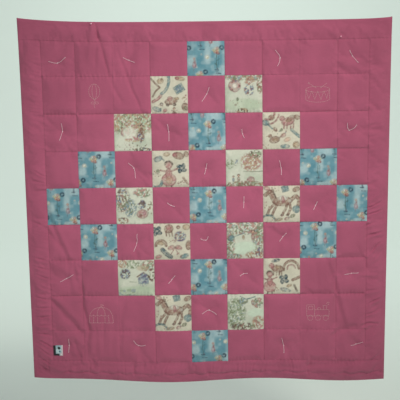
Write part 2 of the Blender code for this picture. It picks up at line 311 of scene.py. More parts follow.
def ripples(x, z):
    """Short narrow hollows across the side borders and up from the hem, where the border was eased on."""
    patchy = np.clip(0.55 + 0.9 * lumps(x, z, 0.035, 5), 0, 1.3)

    def hollows(run, length, inward, seed):
        wave = np.sin(2 * math.pi * run / length + 3 * lumps(x, z, 0.05, seed))
        return (0.35 * wave - ramp(wave, 0.55, 1.0)) * bump(inward - 0.040, 0.024) * patchy

    left = hollows(z + 0.3 * x, 0.027, x - LEFT, 3) * (0.5 + 0.5 * ramp(z, 0.25, 0.05))
    right = hollows(z - 0.45 * x, 0.031, RIGHT - x, 14) * (0.2 + 0.8 * ramp(z, 0.12, -0.08))
    hem = hollows(x, 0.031, z - BOTTOM, 15)
    wavy = z - BOTTOM - HEM_CREASE - 0.0022 * np.sin(2 * math.pi * x / 0.052 + 2.5 * lumps(x, z, 0.08, 16))
    crease = bump(wavy, 0.0036) * (0.75 + 0.4 * lumps(x, z, 0.06, 17)) * ramp(x, LEFT + 0.03, LEFT + 0.10)
    return 0.0034 * left + 0.0056 * right + 0.0028 * hem - 0.0044 * crease


HEM_CREASE = 0.021  # how far up from the bottom edge its wavy crease runs
PUCKER_LENGTH = 0.0110


def seam_relief(x, z):
    """Each seam lies in a groove that its stitches pucker, with the allowances pressed to one side."""
    across, along = seams_near(x, z)
    height = 0
    for away, run, seed, groove, depth in ((across, z, 1, 0.00015, 0.0002), (along, x, 2, 0.00045, 0.0007)):
        distance = np.abs(away)
        pucker = np.sin(2 * math.pi * run / PUCKER_LENGTH + 4 * lumps(x, z, 0.03, seed))
        pucker = pucker * (0.55 + 0.65 * lumps(x, z, 0.045, seed + 2))
        height = height - groove * bump(distance, 0.0016) - depth * np.exp(-distance / 0.009)
        height = height + 1.6 * depth * pucker * np.exp(-distance / 0.007)
        pressed = ramp(away, 0, 0.001) * ramp(away, SEAM_ALLOWANCE + 0.001, SEAM_ALLOWANCE)
        height = height + 0.00030 * pressed
    return height


def tie_relief(x, z, height):
    """The layers drawn together at each knot, with short creases running out of it."""
    for number, (knot_x, knot_z) in enumerate(KNOTS):
        away_x, away_z = x - knot_x, z - knot_z
        distance = np.hypot(away_x, away_z)
        close = distance < 0.06
        if not close.any():
            continue
        angle = np.arctan2(away_z, away_x)
        creases = np.cos((5 + number % 3) * angle + 1.7 * number) + 0.6 * np.cos(3 * angle + 2.3 * number)
        creases = creases * 0.0005 * ramp(distance, 0.001, 0.008) * np.exp(-distance / 0.016)
        drawn = np.exp(-distance / 0.0085)
        height = np.where(close, height * (1 - drawn) + TIE_LOFT * drawn + creases, height)
    return height


HANG_STREAK = 3.5  # how much longer than wide the soft creases are that hanging gives


def reaches(x, z, start, end, margin):
    """Whether any of the points lie within a margin of the box from start to end."""
    return (x.max() > min(start[0], end[0]) - margin and x.min() < max(start[0], end[0]) + margin
            and z.max() > min(start[1], end[1]) - margin and z.min() < max(start[1], end[1]) + margin)


def relief(x, z):
    """Height of the top's outer face over the quilt's back, at points of the flat quilt."""
    x, z = np.asarray(x, float), np.asarray(z, float)
    a = np.clip((x - LEFT) / (RIGHT - LEFT) * GRID_X, 0, GRID_X - 1e-6)
    b = np.clip((z - BOTTOM) / (TOP - BOTTOM) * GRID_Z, 0, GRID_Z - 1e-6)
    i, j = a.astype(int), b.astype(int)
    s, t = a - i, b - j
    puff = ((PUFF[i, j] * (1 - s) + PUFF[i + 1, j] * s) * (1 - t)
            + (PUFF[i, j + 1] * (1 - s) + PUFF[i + 1, j + 1] * s) * t)
    height = LOFT + puff
    height = height + 0.0016 * lumps(x, z, 0.16, 1) + 0.0008 * lumps(x, z, 0.045, 2)
    height = height + 0.00030 * lumps(x, z, 0.016, 4) + 0.00008 * lumps(x, z, 0.006, 6)
    height = height + 0.0007 * lumps(x * HANG_STREAK, z, 0.055, 9)
    height = height + 0.0004 * lumps(x, z * HANG_STREAK, 0.060, 10)
    wandering = x + 0.003 * lumps(x, z, 0.04, 7)
    for numbers in FOLDS:
        start_x, start_z, end_x, end_z, width, rise = (number * MM for number in numbers)
        start, end = (start_x, start_z), (end_x, end_z)
        if reaches(x, z, start, end, 3 * width + 0.01):
            height = height + FOLD_DEPTH * rise * fold(wandering, z, start, end, width)
    height = height + ripples(x, z) + seam_relief(x, z)
    height = tie_relief(x, z, height)
    edge = np.minimum.reduce([x - LEFT, RIGHT - x, TOP - z, z - BOTTOM])
    inner = 1 - np.exp(-np.maximum(edge, 0) / EDGE_ROUND)
    height = EDGE_LOFT + (height - EDGE_LOFT) * inner
    for pin_x, pin_z in (LEFT_PIN, RIGHT_PIN):
        pressed = bump(np.hypot(x - pin_x, z - pin_z), 0.006)
        height = height * (1 - pressed) + (PIN_HEAD_CENTRE - PIN_HEAD_RADIUS - 0.0003) * pressed
    return LEAST_LOFT + SQUASH * np.logaddexp(0, (height - LEAST_LOFT) / SQUASH)


PUFF = stuffed_top()

# --- materials ------------------------------------------------------------------------------------

THREAD = 0.0012  # shirting has a thread each 0.4 mm, drawn three times as coarse so that it shows
RIB = 0.0008  # a label's ribs, 0.4 mm apart, drawn twice as coarse so that they show
WAVE_PERIOD = math.pi / 10  # length of one band of a wave texture at scale 1


def linear(hex_colour):
    """An sRGB hex colour as linear red, green and blue."""
    parts = [int(hex_colour[i:i + 2], 16) / 255 for i in (1, 3, 5)]
    return np.array([c / 12.92 if c <= 0.04045 else ((c + 0.055) / 1.055) ** 2.4 for c in parts])


def opaque(hex_colour):
    return (*linear(hex_colour), 1.0)


def add(tree, kind, inputs=None, **settings):
    """Adds a node with its settings. inputs gives each socket a value or another node's output."""
    node = tree.nodes.new(kind)
    for name, value in settings.items():
        setattr(node, name, value)
    for key, value in (inputs or {}).items():
        if isinstance(value, bpy.types.NodeSocket):
            tree.links.new(value, node.inputs[key])
        else:
            node.inputs[key].default_value = value
    return node


def finish_named(name, **values):
    """A new material with these values on its shader's own sockets."""
    made = bpy.data.materials.new(name)
    made.use_nodes = True
    tree = made.node_tree
    shader = tree.nodes["Principled BSDF"]
    for socket, value in values.items():
        shader.inputs[socket.replace("_", " ")].default_value = value
    return made, tree, shader


def noise(tree, scale, detail, place=None):
    """Smooth noise from 0 to 1, over the piece's own object coordinates unless a place is given."""
    if place is None:
        place = add(tree, "ShaderNodeTexCoord").outputs["Object"]
    return add(tree, "ShaderNodeTexNoise", {"Vector": place, "Scale": scale, "Detail": detail}).outputs["Fac"]


def between(tree, value, low, high, start=0.0, end=1.0):
    """A value that runs from start to end, made to run from low to high."""
    return add(tree, "ShaderNodeMapRange", {
        "Value": value, "From Min": start, "From Max": end, "To Min": low, "To Max": high}).outputs[0]


def colour_by(tree, shader, colour, brightness):
    """The surface's colour, brighter or darker by a pattern."""
    varied = add(tree, "ShaderNodeHueSaturation", {"Color": colour, "Value": brightness}).outputs[0]
    tree.links.new(varied, shader.inputs["Base Color"])


def raise_by(tree, shader, height, strength, distance):
    """Fine relief that is too small to be in the mesh."""
    normal = add(tree, "ShaderNodeBump", {
        "Height": height, "Strength": strength, "Distance": distance}).outputs[0]
    tree.links.new(normal, shader.inputs["Normal"])


def woven(tree, shader, thread, depth):
    """Plain weave over the cloth's own UV map, in metres. Returns a brightness from its threads: painted
    shade between the crossing threads, with the slubs' own uneven tone.
    """
    cloth = add(tree, "ShaderNodeUVMap", uv_map="cloth").outputs["UV"]
    bands = []
    for direction in ("X", "Y"):
        bands.append(add(tree, "ShaderNodeTexWave", {
            "Vector": cloth, "Scale": WAVE_PERIOD / thread, "Distortion": 1.2, "Detail": 1.0,
            "Detail Scale": 0.6}, wave_type="BANDS", bands_direction=direction).outputs["Fac"])
    weave = add(tree, "ShaderNodeMath", {0: bands[0], 1: bands[1]}, operation="MULTIPLY").outputs[0]
    stretched = add(tree, "ShaderNodeMapping", {"Vector": cloth, "Scale": (1.0, 7.0, 1.0)}).outputs[0]
    slubs = noise(tree, 90.0, 3.0, stretched)
    height = add(tree, "ShaderNodeMath", {0: slubs, 1: weave}, operation="ADD").outputs[0]
    raise_by(tree, shader, height, 0.35, depth)
    # Painted shade of the weave, darker between crossing threads, plus the slubs' uneven tone.
    thread_shade_and_slubs = add(tree, "ShaderNodeMath", {0: weave, 1: 0.6, 2: slubs}, operation="MULTIPLY_ADD").outputs[0]
    return between(tree, thread_shade_and_slubs, 0.92, 1.07, 0.2, 1.2)


def dyed_cotton(name):
    """Quilting cotton, plain woven and washed soft: no shine, a short pale nap that catches light at a
    glancing angle, single thick threads with painted shade between them, and dye that has faded in soft
    patches; the colours it reads carry painted shade along the seams."""
    made, tree, shader = finish_named(name, Roughness=0.92, Sheen_Weight=0.25, Sheen_Roughness=0.55,
                                      Specular_IOR_Level=0.25)
    shade = woven(tree, shader, THREAD, 0.0004)
    faded = between(tree, noise(tree, 14.0, 4.0), 0.95, 1.05, 0.3, 0.7)
    value = add(tree, "ShaderNodeMath", {0: shade, 1: faded}, operation="MULTIPLY").outputs[0]
    colour_by(tree, shader, add(tree, "ShaderNodeAttribute", attribute_name="cloth_colour").outputs["Color"], value)
    return made


def spun_floss(name, hex_colour, strand):
    """Cotton embroidery floss, mercerised: fine twisted strands with a slight silky shine."""
    made, tree, shader = finish_named(name, Roughness=0.55, Sheen_Weight=0.3, Specular_IOR_Level=0.4)
    strands = noise(tree, 1 / strand, 2.0)
    colour_by(tree, shader, opaque(hex_colour), between(tree, strands, 0.85, 1.1))
    raise_by(tree, shader, strands, 0.4, 0.0002)
    return made


def woven_satin(name):
    """A woven damask label: close upright ribs with a soft sheen, coloured in the weave."""
    made, tree, shader = finish_named(name, Roughness=0.5, Sheen_Weight=0.2, Specular_IOR_Level=0.45)
    cloth = add(tree, "ShaderNodeUVMap", uv_map="cloth").outputs["UV"]
    ribs = add(tree, "ShaderNodeTexWave", {
        "Vector": cloth, "Scale": WAVE_PERIOD / RIB, "Distortion": 0.4}, bands_direction="X").outputs["Fac"]
    cloth_colour = add(tree, "ShaderNodeAttribute", attribute_name="cloth_colour").outputs["Color"]
    colour_by(tree, shader, cloth_colour, between(tree, ribs, 0.85, 1.08))
    raise_by(tree, shader, ribs, 0.4, 0.0002)
    return made


def bonded_wadding(name):
    """Bonded polyester wadding: white, matt and fluffy, with no pattern but its tangled fibres."""
    made, tree, shader = finish_named(name, Roughness=0.95, Sheen_Weight=0.4)
    fibres = noise(tree, 400.0, 5.0)
    colour_by(tree, shader, opaque("#E9E7E0"), between(tree, fibres, 0.85, 1.05))
    raise_by(tree, shader, fibres, 0.6, 0.001)
    return made


def pearl_plastic(name):
    """Moulded polystyrene with a pearl lacquer: smooth, glossy, with a soft milky depth."""
    made, tree, shader = finish_named(name, Roughness=0.22, Coat_Weight=0.6, Coat_Roughness=0.08,
                                      Subsurface_Weight=0.15, Subsurface_Scale=0.002)
    colour_by(tree, shader, opaque("#E9AFC4"), between(tree, noise(tree, 900.0, 2.0), 0.93, 1.05))
    return made


def plated_steel(name):
    """Drawn steel wire, nickel plated: bright metal with faint lengthwise draw marks."""
    made, tree, shader = finish_named(name, Metallic=1.0)
    place = add(tree, "ShaderNodeTexCoord").outputs["Object"]
    drawn = add(tree, "ShaderNodeMapping", {"Vector": place, "Scale": (6.0, 0.2, 6.0)}).outputs[0]
    marks = noise(tree, 900.0, 2.0, drawn)
    tree.links.new(between(tree, marks, 0.18, 0.34), shader.inputs["Roughness"])
    colour_by(tree, shader, opaque("#C9C6BE"), between(tree, marks, 0.92, 1.04))
    return made


ROSE = linear("#B25B77")
FLOSS = "#F3DCE2"
COTTON = dyed_cotton("rose quilting cotton")
SKY_COTTON = dyed_cotton("sky print cotton")
TOY_COTTON = dyed_cotton("toy print cotton")
SCENE_COTTON = dyed_cotton("scene print cotton")
RIBBED_SATIN = woven_satin("woven satin label")
TIE_FLOSS = spun_floss("white cotton floss", FLOSS, 0.0006)
STITCH_THREAD = spun_floss("pale fawn embroidery thread", "#D0A5A6", 0.0004)
SEWING_THREAD = spun_floss("dark sewing thread", "#6E4652", 0.0003)
WADDING_FIBRE = bonded_wadding("bonded polyester wadding")
PEARL = pearl_plastic("pearl polystyrene")
PIN_STEEL = plated_steel("nickel-plated steel")

# --- the prints -----------------------------------------------------------------------------------

INK_EDGE = 0.014  # how softly a printed shape ends, as a share of a square
DRAWN_EDGE = 0.45  # how much darker the drawn line round each shape is
CREAM, PEACH, RED = linear("#EEECDC"), linear("#DDA992"), linear("#A8564F")
PINK, LEMON, STALK = linear("#C3939A"), linear("#D2D3A2"), linear("#5A7A72")
INDIGO, FADED_RED, FADED_ROSE = linear("#1D3450"), linear("#B2777A"), linear("#AE857C")
TEAL, DARK_TEAL, GREY = linear("#6F9094"), linear("#2C5160"), linear("#97A5A3")
BROWN, ROSE_INK, TAN, UMBER = linear("#926E60"), linear("#B47C7C"), linear("#B9A184"), linear("#655048")
MEADOW, OLIVE, PURPLE, SLATE = linear("#B3C6A8"), linear("#7B8266"), linear("#6A6480"), linear("#8494A0")
LEAF = linear("#9BA98C")


class Print:
    """The colours being printed on points of one square. Places are shares of the square, from its top
    left corner: u to the right, v down."""

    def __init__(self, u, v, ground):
        self.u, self.v = u, v
        self.colours = np.tile(ground, (len(u), 1))
        place = u * SQUARE, v * SQUARE
        blotches = 0.34 * lumps(*place, 0.0042, 12) + 0.28 * lumps(*place, 0.0021, 13)
        self.mottle = np.clip(0.74 + blotches, 0.15, 1)
        self.origin, self.size = (0.0, 0.0), 1.0

    def figure(self, place, size=1.0):
        """The same print, its places counted from a figure's middle and its sizes in the figure's size."""
        part = copy.copy(self)
        part.origin, part.size = place, size
        return part

    def ink(self, distance, colour, strength=0.9):
        """Prints a colour where the signed distance to a shape's edge is below zero."""
        cover = np.clip(0.5 - distance / INK_EDGE, 0, 1) * strength * self.mottle
        drawn = bump(distance + INK_EDGE, INK_EDGE) * DRAWN_EDGE
        shade = np.asarray(colour) * (1 - drawn)[:, None]
        self.colours += cover[:, None] * (shade - self.colours)

    def local(self, place, turn=0.0):
        """Coordinates about a place, turned by degrees anticlockwise."""
        a = self.u - (self.origin[0] + place[0] * self.size)
        b = self.v - (self.origin[1] + place[1] * self.size)
        angle = math.radians(turn)
        return a * math.cos(angle) - b * math.sin(angle), a * math.sin(angle) + b * math.cos(angle)

    def oval(self, place, half, colour, turn=0.0, strength=0.9):
        a, b = self.local(place, turn)
        wide, high = half[0] * self.size, half[1] * self.size
        self.ink((np.hypot(a / wide, b / high) - 1) * min(wide, high), colour, strength)

    def disc(self, place, radius, colour, strength=0.9):
        self.oval(place, (radius, radius), colour, strength=strength)

    def ring(self, place, radius, width, colour):
        a, b = self.local(place)
        self.ink(np.abs(np.hypot(a, b) - radius * self.size) - width * self.size / 2, colour)

    def box(self, place, half, colour, turn=0.0, strength=0.9):
        a, b = self.local(place, turn)
        self.ink(np.maximum(np.abs(a) - half[0] * self.size, np.abs(b) - half[1] * self.size), colour,
                 strength)

    def line(self, points, width, colour, strength=0.9):
        """A brush line through the points."""
        nearest = np.full(len(self.u), FAR)
        for start, end in zip(points, points[1:]):
            a, b = self.local(start)
            du, dv = (end[0] - start[0]) * self.size, (end[1] - start[1]) * self.size
            share = np.clip((a * du + b * dv) / (du * du + dv * dv), 0, 1)
            nearest = np.minimum(nearest, np.hypot(a - share * du, b - share * dv))
        self.ink(nearest - width * self.size / 2, colour, strength)

    def arc(self, place, radius, start, end, width, colour):
        """Part of a ring, angles in degrees anticlockwise from the right."""
        angles = [math.radians(start + (end - start) * i / 10) for i in range(11)]
        self.line([(place[0] + radius * math.cos(a), place[1] - radius * math.sin(a)) for a in angles],
                  width, colour)

    def dabs(self, place, half, count, colours, seed, size=0.018):
        """Small brush dabs scattered over an oval patch."""
        draw = np.random.RandomState(seed)
        for number in range(count):
            reach, angle = math.sqrt(draw.uniform()), draw.uniform(0, 2 * math.pi)
            across, down = half[0] * reach * math.cos(angle), half[1] * reach * math.sin(angle)
            spot = (place[0] + across, place[1] + down)
            grown = size * draw.uniform(0.6, 1.5)
            self.oval(spot, (grown, grown * draw.uniform(0.5, 1.0)), colours[number % len(colours)],
                      draw.uniform(0, 180), 0.85)


def thicket(p, place, half, colours, seed, size=0.0040, thick=0.15):
    """A busy patch of small brushed marks, such as leaves, crowds and flowers, fading out at its rim."""
    inside = ramp(np.hypot((p.u - place[0]) / half[0], (p.v - place[1]) / half[1]), 1.1, 0.75)
    for number, colour in enumerate(colours):
        marks = lumps(p.u * SQUARE, p.v * SQUARE, size, seed + number)
        cover = ramp(marks, thick, thick + 0.25) * inside * 0.85
        p.colours += cover[:, None] * (colour - p.colours)


def wash(p, place, half, colour, strength=0.8):
    """A soft pool of colour with no drawn edge."""
    inside = ramp(np.hypot((p.u - place[0]) / half[0], (p.v - place[1]) / half[1]), 1.25, 0.75)
    p.colours += (inside * strength)[:, None] * (colour - p.colours)


def cloudy_ground(p, patches, size, amount, seed):
    """Soft watercolour patches in the ground, in shares of a square."""
    cloud = ramp(lumps(p.u * SQUARE, p.v * SQUARE, size * SQUARE, seed), -0.1, 0.7)[:, None] * amount
    p.colours += cloud * (patches - p.colours)


SKY_GROUND, SKY_CLOUD, SKY_DEEP = linear("#6E9CA9"), linear("#B9D0D2"), linear("#558C9D")
SKY_REPEAT, SKY_DROP = 0.88, 0.64


def sky_print(u, v, shift):
    """A nursery print of rag flowers on stalks and small floating figures over a cloudy teal sky. The
    same cluster is repeated, each row of it half a repeat along from the last."""
    p = Print(u, v, SKY_GROUND)
    cloudy_ground(p, SKY_DEEP, 0.30, 0.55, 3)
    cloudy_ground(p, SKY_CLOUD, 0.22, 0.75, 5)
    cloudy_ground(p, SKY_CLOUD, 0.09, 0.30, 8)
    for row in range(-2, 3):
        for step in range(-2, 3):
            left = shift[0] + SKY_REPEAT * (step + 0.5 * (row % 2))
            top = shift[1] + SKY_DROP * row
            if -0.6 < left < 1.6 and -0.9 < top < 1.4:
                sky_cluster(p.figure((left, top)))
    return p.colours


def sky_cluster(p):
    """A rag flower on its stalk, a ring, a floating figure and small dots."""
    p.disc((-0.27, 0.17), 0.062, CREAM)
    p.disc((-0.25, 0.19), 0.026, LEMON, 0.6)
    p.line([(-0.012, 0.10), (-0.02, 0.30), (-0.005, 0.50)], 0.024, STALK)
    p.line([(0.030, 0.16), (0.035, 0.34), (0.005, 0.52)], 0.020, SKY_DEEP)
    for turn, drop in ((40, 0.24), (-42, 0.36)):
        p.oval((0.035 * math.copysign(1, turn), drop), (0.048, 0.024), STALK, turn, 0.6)
    p.oval((0.01, 0.50), (0.030, 0.040), SLATE, 10, 0.8)
    p.line([(-0.03, 0.60), (0.10, 0.61)], 0.022, INDIGO)
    for number in range(6):
        angle = 2 * math.pi * number / 6
        spot = (0.055 * math.cos(angle) - 0.02, 0.055 * math.sin(angle) - 0.01)
        p.disc(spot, 0.044, (LEMON, CREAM, PEACH)[number % 3], 0.85)
    p.disc((-0.01, 0), 0.030, PEACH)
    p.oval((0.020, 0.070), (0.060, 0.042), RED, -15, 0.8)
    p.oval((0.03, 0.035), (0.026, 0.034), PEACH, 0, 0.8)
    p.ring((0.125, -0.075), 0.044, 0.052, INDIGO)
    p.disc((0.125, -0.075), 0.020, SKY_CLOUD, 0.7)
    p.line([(-0.50, -0.13), (-0.40, -0.12)], 0.022, INDIGO)
    p.line([(-0.48, -0.09), (-0.42, -0.08)], 0.014, STALK)
    p.oval((0.27, 0.33), (0.055, 0.150), SKY_CLOUD, -6, 0.7)
    p.oval((0.27, 0.38), (0.058, 0.090), PINK, 0, 0.75)
    p.disc((0.265, 0.20), 0.036, PEACH, 0.8)
    p.oval((0.275, 0.30), (0.026, 0.060), FADED_RED, -8, 0.8)
    p.oval((0.30, 0.41), (0.020, 0.040), FADED_RED, -8, 0.6)
    p.line([(0.26, 0.47), (0.25, 0.53)], 0.020, SLATE)
    p.disc((0.46, 0.10), 0.026, CREAM, 0.8)
    p.disc((0.33, 0.62), 0.034, CREAM, 0.8)
    p.disc((-0.10, -0.20), 0.018, CREAM, 0.7)


def horse(p, coat, saddle):
    """A rocking-horse shape facing left."""
    p.line([(0.22, -0.03), (0.36, -0.14), (0.46, -0.04), (0.42, 0.14)], 0.11, coat)
    legs = ((-0.20, -0.34, -0.40), (-0.12, -0.20, -0.27), (0.14, 0.09, 0.0), (0.20, 0.22, 0.15))
    for start, knee, foot in legs:
        p.line([(start, 0.06), (knee, 0.20), (foot, 0.36)], 0.072, coat)
        p.oval((foot - 0.0098, 0.37), (0.05, 0.025), UMBER)
    p.oval((0, 0), (0.27, 0.13), coat, 4)
    p.line([(-0.20, -0.02), (-0.31, -0.24)], 0.16, coat)
    p.line([(-0.33, -0.27), (-0.45, -0.17)], 0.11, coat)
    p.line([(-0.27, -0.36), (-0.18, -0.12)], 0.045, UMBER)
    p.oval((0.01, -0.09), (0.13, 0.075), saddle)
    p.oval((0.02, -0.05), (0.05, 0.10), ROSE_INK, 10)
    p.disc((0.20, -0.02), 0.05, CREAM, 0.6)


def windmill(p, colour):
    """A toy windmill's four sails."""
    for turn in (20, 65, 110, 155):
        angle = math.radians(turn * 2)
        spot = (0.28 * math.cos(angle), 0.28 * math.sin(angle))
        p.oval(spot, (0.30, 0.21), colour, -2 * turn + 35, 1.0)
    p.disc((0, 0), 0.10, CREAM)


def doll(p, dress, skin):
    """A rag doll: round head, wide skirt and outspread arms."""
    p.oval((0, 0.25), (0.24, 0.22), dress)
    p.oval((0, 0.05), (0.11, 0.18), dress)
    p.line([(-0.26, -0.06), (0, 0), (0.26, -0.10)], 0.06, dress)
    p.disc((0, -0.22), 0.12, skin)
    p.arc((0, -0.22), 0.12, 10, 170, 0.06, UMBER)
    p.line([(-0.08, 0.46), (-0.09, 0.58)], 0.05, UMBER)
    p.line([(0.08, 0.46), (0.09, 0.58)], 0.05, UMBER)
    p.line([(-0.2, 0.30), (0.2, 0.30)], 0.03, CREAM, 0.6)


def hen(p, coat, wing):
    p.oval((0, 0), (0.24, 0.16), coat, 12)
    p.disc((-0.20, -0.17), 0.09, coat)
    p.line([(-0.28, -0.16), (-0.36, -0.14)], 0.035, TAN)
    p.line([(0.18, -0.04), (0.34, -0.20)], 0.07, coat)
    p.oval((0.04, 0), (0.12, 0.07), wing, 15)


def toy_box(p, colour, lid, turn):
    p.box((0, 0), (0.5, 0.42), colour, turn)
    p.box((0, 0), (0.34, 0.26), lid, turn)
    p.box((0, 0), (0.05, 0.42), colour, turn)


def ball(p, colour, band):
    p.disc((0, 0), 0.5, colour)
    p.arc((0, 0), 0.30, 200, 340, 0.10, band)
    p.arc((0, 0), 0.30, 20, 160, 0.07, band)


def bow(p, colour):
    p.oval((-0.3, 0), (0.30, 0.20), colour, 20)
    p.oval((0.3, 0), (0.30, 0.20), colour, -20)
    p.disc((0, 0), 0.10, UMBER)
    p.line([(0, 0), (-0.3, 0.5)], 0.08, colour)
    p.line([(0, 0), (0.25, 0.5)], 0.08, colour)


def horse_square(p):
    horse(p.figure((0.52, 0.42), 1.02), BROWN, CREAM)
    toy_box(p.figure((0.60, 0.08), 0.20), TEAL, GREY, 15)
    ball(p.figure((0.90, 0.64), 0.22), TEAL, GREY)
    p.oval((0.80, 0.82), (0.08, 0.05), OLIVE, 30)
    p.arc((0.14, 1.00), 0.20, 15, 150, 0.06, TEAL)
    p.oval((0.90, 0.10), (0.11, 0.07), BROWN, 20)
    p.oval((0.10, 0.06), (0.10, 0.06), ROSE_INK, -15)
    p.oval((0.42, 0.92), (0.12, 0.05), TAN, 10)
    p.oval((0.64, 0.90), (0.07, 0.05), ROSE_INK, 20)
    p.dabs((0.50, 0.88), (0.40, 0.09), 16, (ROSE_INK, TAN, GREY), 31)
    p.dabs((0.10, 0.50), (0.08, 0.14), 8, (TAN, ROSE_INK), 32)
    p.dabs((0.34, 0.12), (0.14, 0.07), 7, (BROWN, TAN), 30)


def ribbon_square(p):
    p.arc((0.06, 0.10), 0.44, -58, 14, 0.085, TEAL)
    p.line([(0.28, 0.52), (0.20, 0.60), (0.06, 0.68)], 0.085, ROSE_INK)
    p.line([(0.02, 0.06), (0.14, 0.20), (0.25, 0.30), (0.14, 0.40), (0.06, 0.54)], 0.050, BROWN)
    p.oval((0.27, 0.13), (0.10, 0.08), TAN, 20)
    p.disc((0.30, 0.10), 0.04, BROWN)
    p.oval((0.80, 0.07), (0.14, 0.06), TAN, -10)
    p.oval((0.72, 0.06), (0.06, 0.05), ROSE_INK, -10)
    toy_box(p.figure((0.77, 0.34), 0.27), TEAL, SLATE, 30)
    p.oval((0.55, 0.67), (0.18, 0.10), BROWN, 10)
    p.disc((0.46, 0.76), 0.050, UMBER)
    p.disc((0.64, 0.76), 0.050, UMBER)
    p.oval((0.52, 0.60), (0.08, 0.07), ROSE_INK)
    p.oval((0.70, 0.60), (0.07, 0.05), TAN)
    doll(p.figure((0.63, 0.94), 0.30), BROWN, PEACH)
    p.disc((0.29, 0.75), 0.050, UMBER)
    p.disc((0.29, 0.75), 0.022, CREAM)
    p.oval((0.93, 0.83), (0.10, 0.12), BROWN, 20)
    p.oval((0.94, 0.86), (0.05, 0.06), OLIVE, 20)
    p.oval((0.16, 0.88), (0.13, 0.07), GREY, -20)
    p.oval((0.38, 0.92), (0.07, 0.05), ROSE_INK, 30)
    p.dabs((0.20, 0.86), (0.17, 0.10), 12, (ROSE_INK, TEAL, TAN), 33)
    p.dabs((0.92, 0.58), (0.08, 0.10), 9, (TAN, ROSE_INK), 34)


def hen_square(p):
    p.arc((0.14, 0.02), 0.18, 250, 360, 0.065, ROSE_INK)
    p.arc((0.14, 0.02), 0.30, 260, 350, 0.050, ROSE_INK)
    p.oval((0.68, 0.25), (0.19, 0.11), ROSE_INK, 15)
    p.disc((0.52, 0.17), 0.075, ROSE_INK)
    for foot in (0.58, 0.66, 0.76, 0.83):
        p.line([(foot, 0.30), (foot - 0.01, 0.44)], 0.040, ROSE_INK)
    p.oval((0.70, 0.22), (0.09, 0.05), TAN, 15)
    p.oval((0.08, 0.28), (0.11, 0.08), TEAL, -20)
    p.line([(0.14, 0.32), (0.26, 0.44)], 0.045, TEAL)
    hen(p.figure((0.32, 0.74), 0.62), BROWN, TAN)
    p.line([(0.78, 0.48), (0.98, 0.66)], 0.085, TEAL)
    ball(p.figure((0.90, 0.88), 0.20), TAN, BROWN)
    p.oval((0.60, 0.92), (0.13, 0.06), TEAL)
    p.oval((0.56, 0.62), (0.08, 0.06), ROSE_INK, 30)
    p.oval((0.92, 0.14), (0.09, 0.07), BROWN, -20)
    p.dabs((0.45, 0.52), (0.20, 0.08), 12, (TAN, ROSE_INK, GREY), 35)
    p.dabs((0.08, 0.92), (0.09, 0.07), 6, (BROWN, TAN), 36)
    p.oval((0.34, 0.46), (0.05, 0.07), BROWN, 30)
    p.oval((0.50, 0.48), (0.04, 0.05), OLIVE, -20)
    p.oval((0.24, 0.14), (0.09, 0.08), BROWN, 10)
    p.oval((0.76, 0.16), (0.12, 0.07), BROWN, 30, 0.6)
    p.oval((0.66, 0.74), (0.10, 0.06), PEACH, 20, 0.7)


def doll_square(p):
    doll(p.figure((0.45, 0.58), 0.86), ROSE_INK, ROSE_INK)
    p.oval((0.46, 0.80), (0.10, 0.12), TAN, 0, 0.6)
    windmill(p.figure((0.80, 0.48), 0.27), DARK_TEAL)
    for turn in (70, 100, 130):
        p.arc((0.17, 0.36), 0.18, turn - 40, turn, 0.045, (GREY, ROSE_INK, GREY)[turn // 30 % 3])
    p.oval((0.17, 0.22), (0.13, 0.08), GREY, 25)
    p.oval((0.72, 0.14), (0.16, 0.10), BROWN, -15)
    p.oval((0.62, 0.12), (0.07, 0.06), ROSE_INK)
    p.oval((0.93, 0.10), (0.07, 0.08), BROWN, 15)
    p.arc((0.10, 0.84), 0.16, 190, 360, 0.0832, TEAL)
    p.line([(0.84, 0.74), (0.97, 0.92)], 0.065, BROWN)
    p.oval((0.16, 0.56), (0.05, 0.06), OLIVE, 15)
    p.oval((0.40, 0.10), (0.10, 0.06), TAN, 10)
    p.dabs((0.14, 0.62), (0.12, 0.09), 9, (BROWN, TAN), 37)
    p.dabs((0.76, 0.88), (0.10, 0.07), 9, (BROWN, ROSE_INK), 38)


def windmill_square(p):
    windmill(p.figure((0.10, 0.20), 0.27), DARK_TEAL)
    p.oval((0.42, 0.14), (0.13, 0.12), BROWN, 20)
    p.disc((0.42, 0.12), 0.075, ROSE_INK)
    for foot in (0.34, 0.42, 0.50):
        p.line([(foot, 0.22), (foot + 0.02, 0.34)], 0.040, BROWN)
    thicket(p, (0.73, 0.35), (0.17, 0.15), (GREY, SLATE, BROWN, PURPLE), 40)
    p.arc((0.20, 0.60), 0.14, 0, 180, 0.085, BROWN)
    p.oval((0.20, 0.54), (0.10, 0.06), TAN)
    p.line([(0.24, 0.72), (0.33, 0.82), (0.46, 0.92)], 0.130, DARK_TEAL)
    bow(p.figure((0.58, 0.66), 0.34), ROSE_INK)
    p.oval((0.95, 0.60), (0.08, 0.14), BROWN)
    p.oval((0.84, 0.90), (0.13, 0.07), TEAL, 20)
    p.oval((0.90, 0.10), (0.11, 0.08), TAN)
    p.oval((0.68, 0.10), (0.06, 0.05), BROWN)
    p.oval((0.12, 0.92), (0.10, 0.06), ROSE_INK, 20)
    p.dabs((0.70, 0.86), (0.12, 0.08), 9, (TAN, ROSE_INK), 41)
    p.dabs((0.50, 0.46), (0.20, 0.06), 9, (ROSE_INK, BROWN), 42)


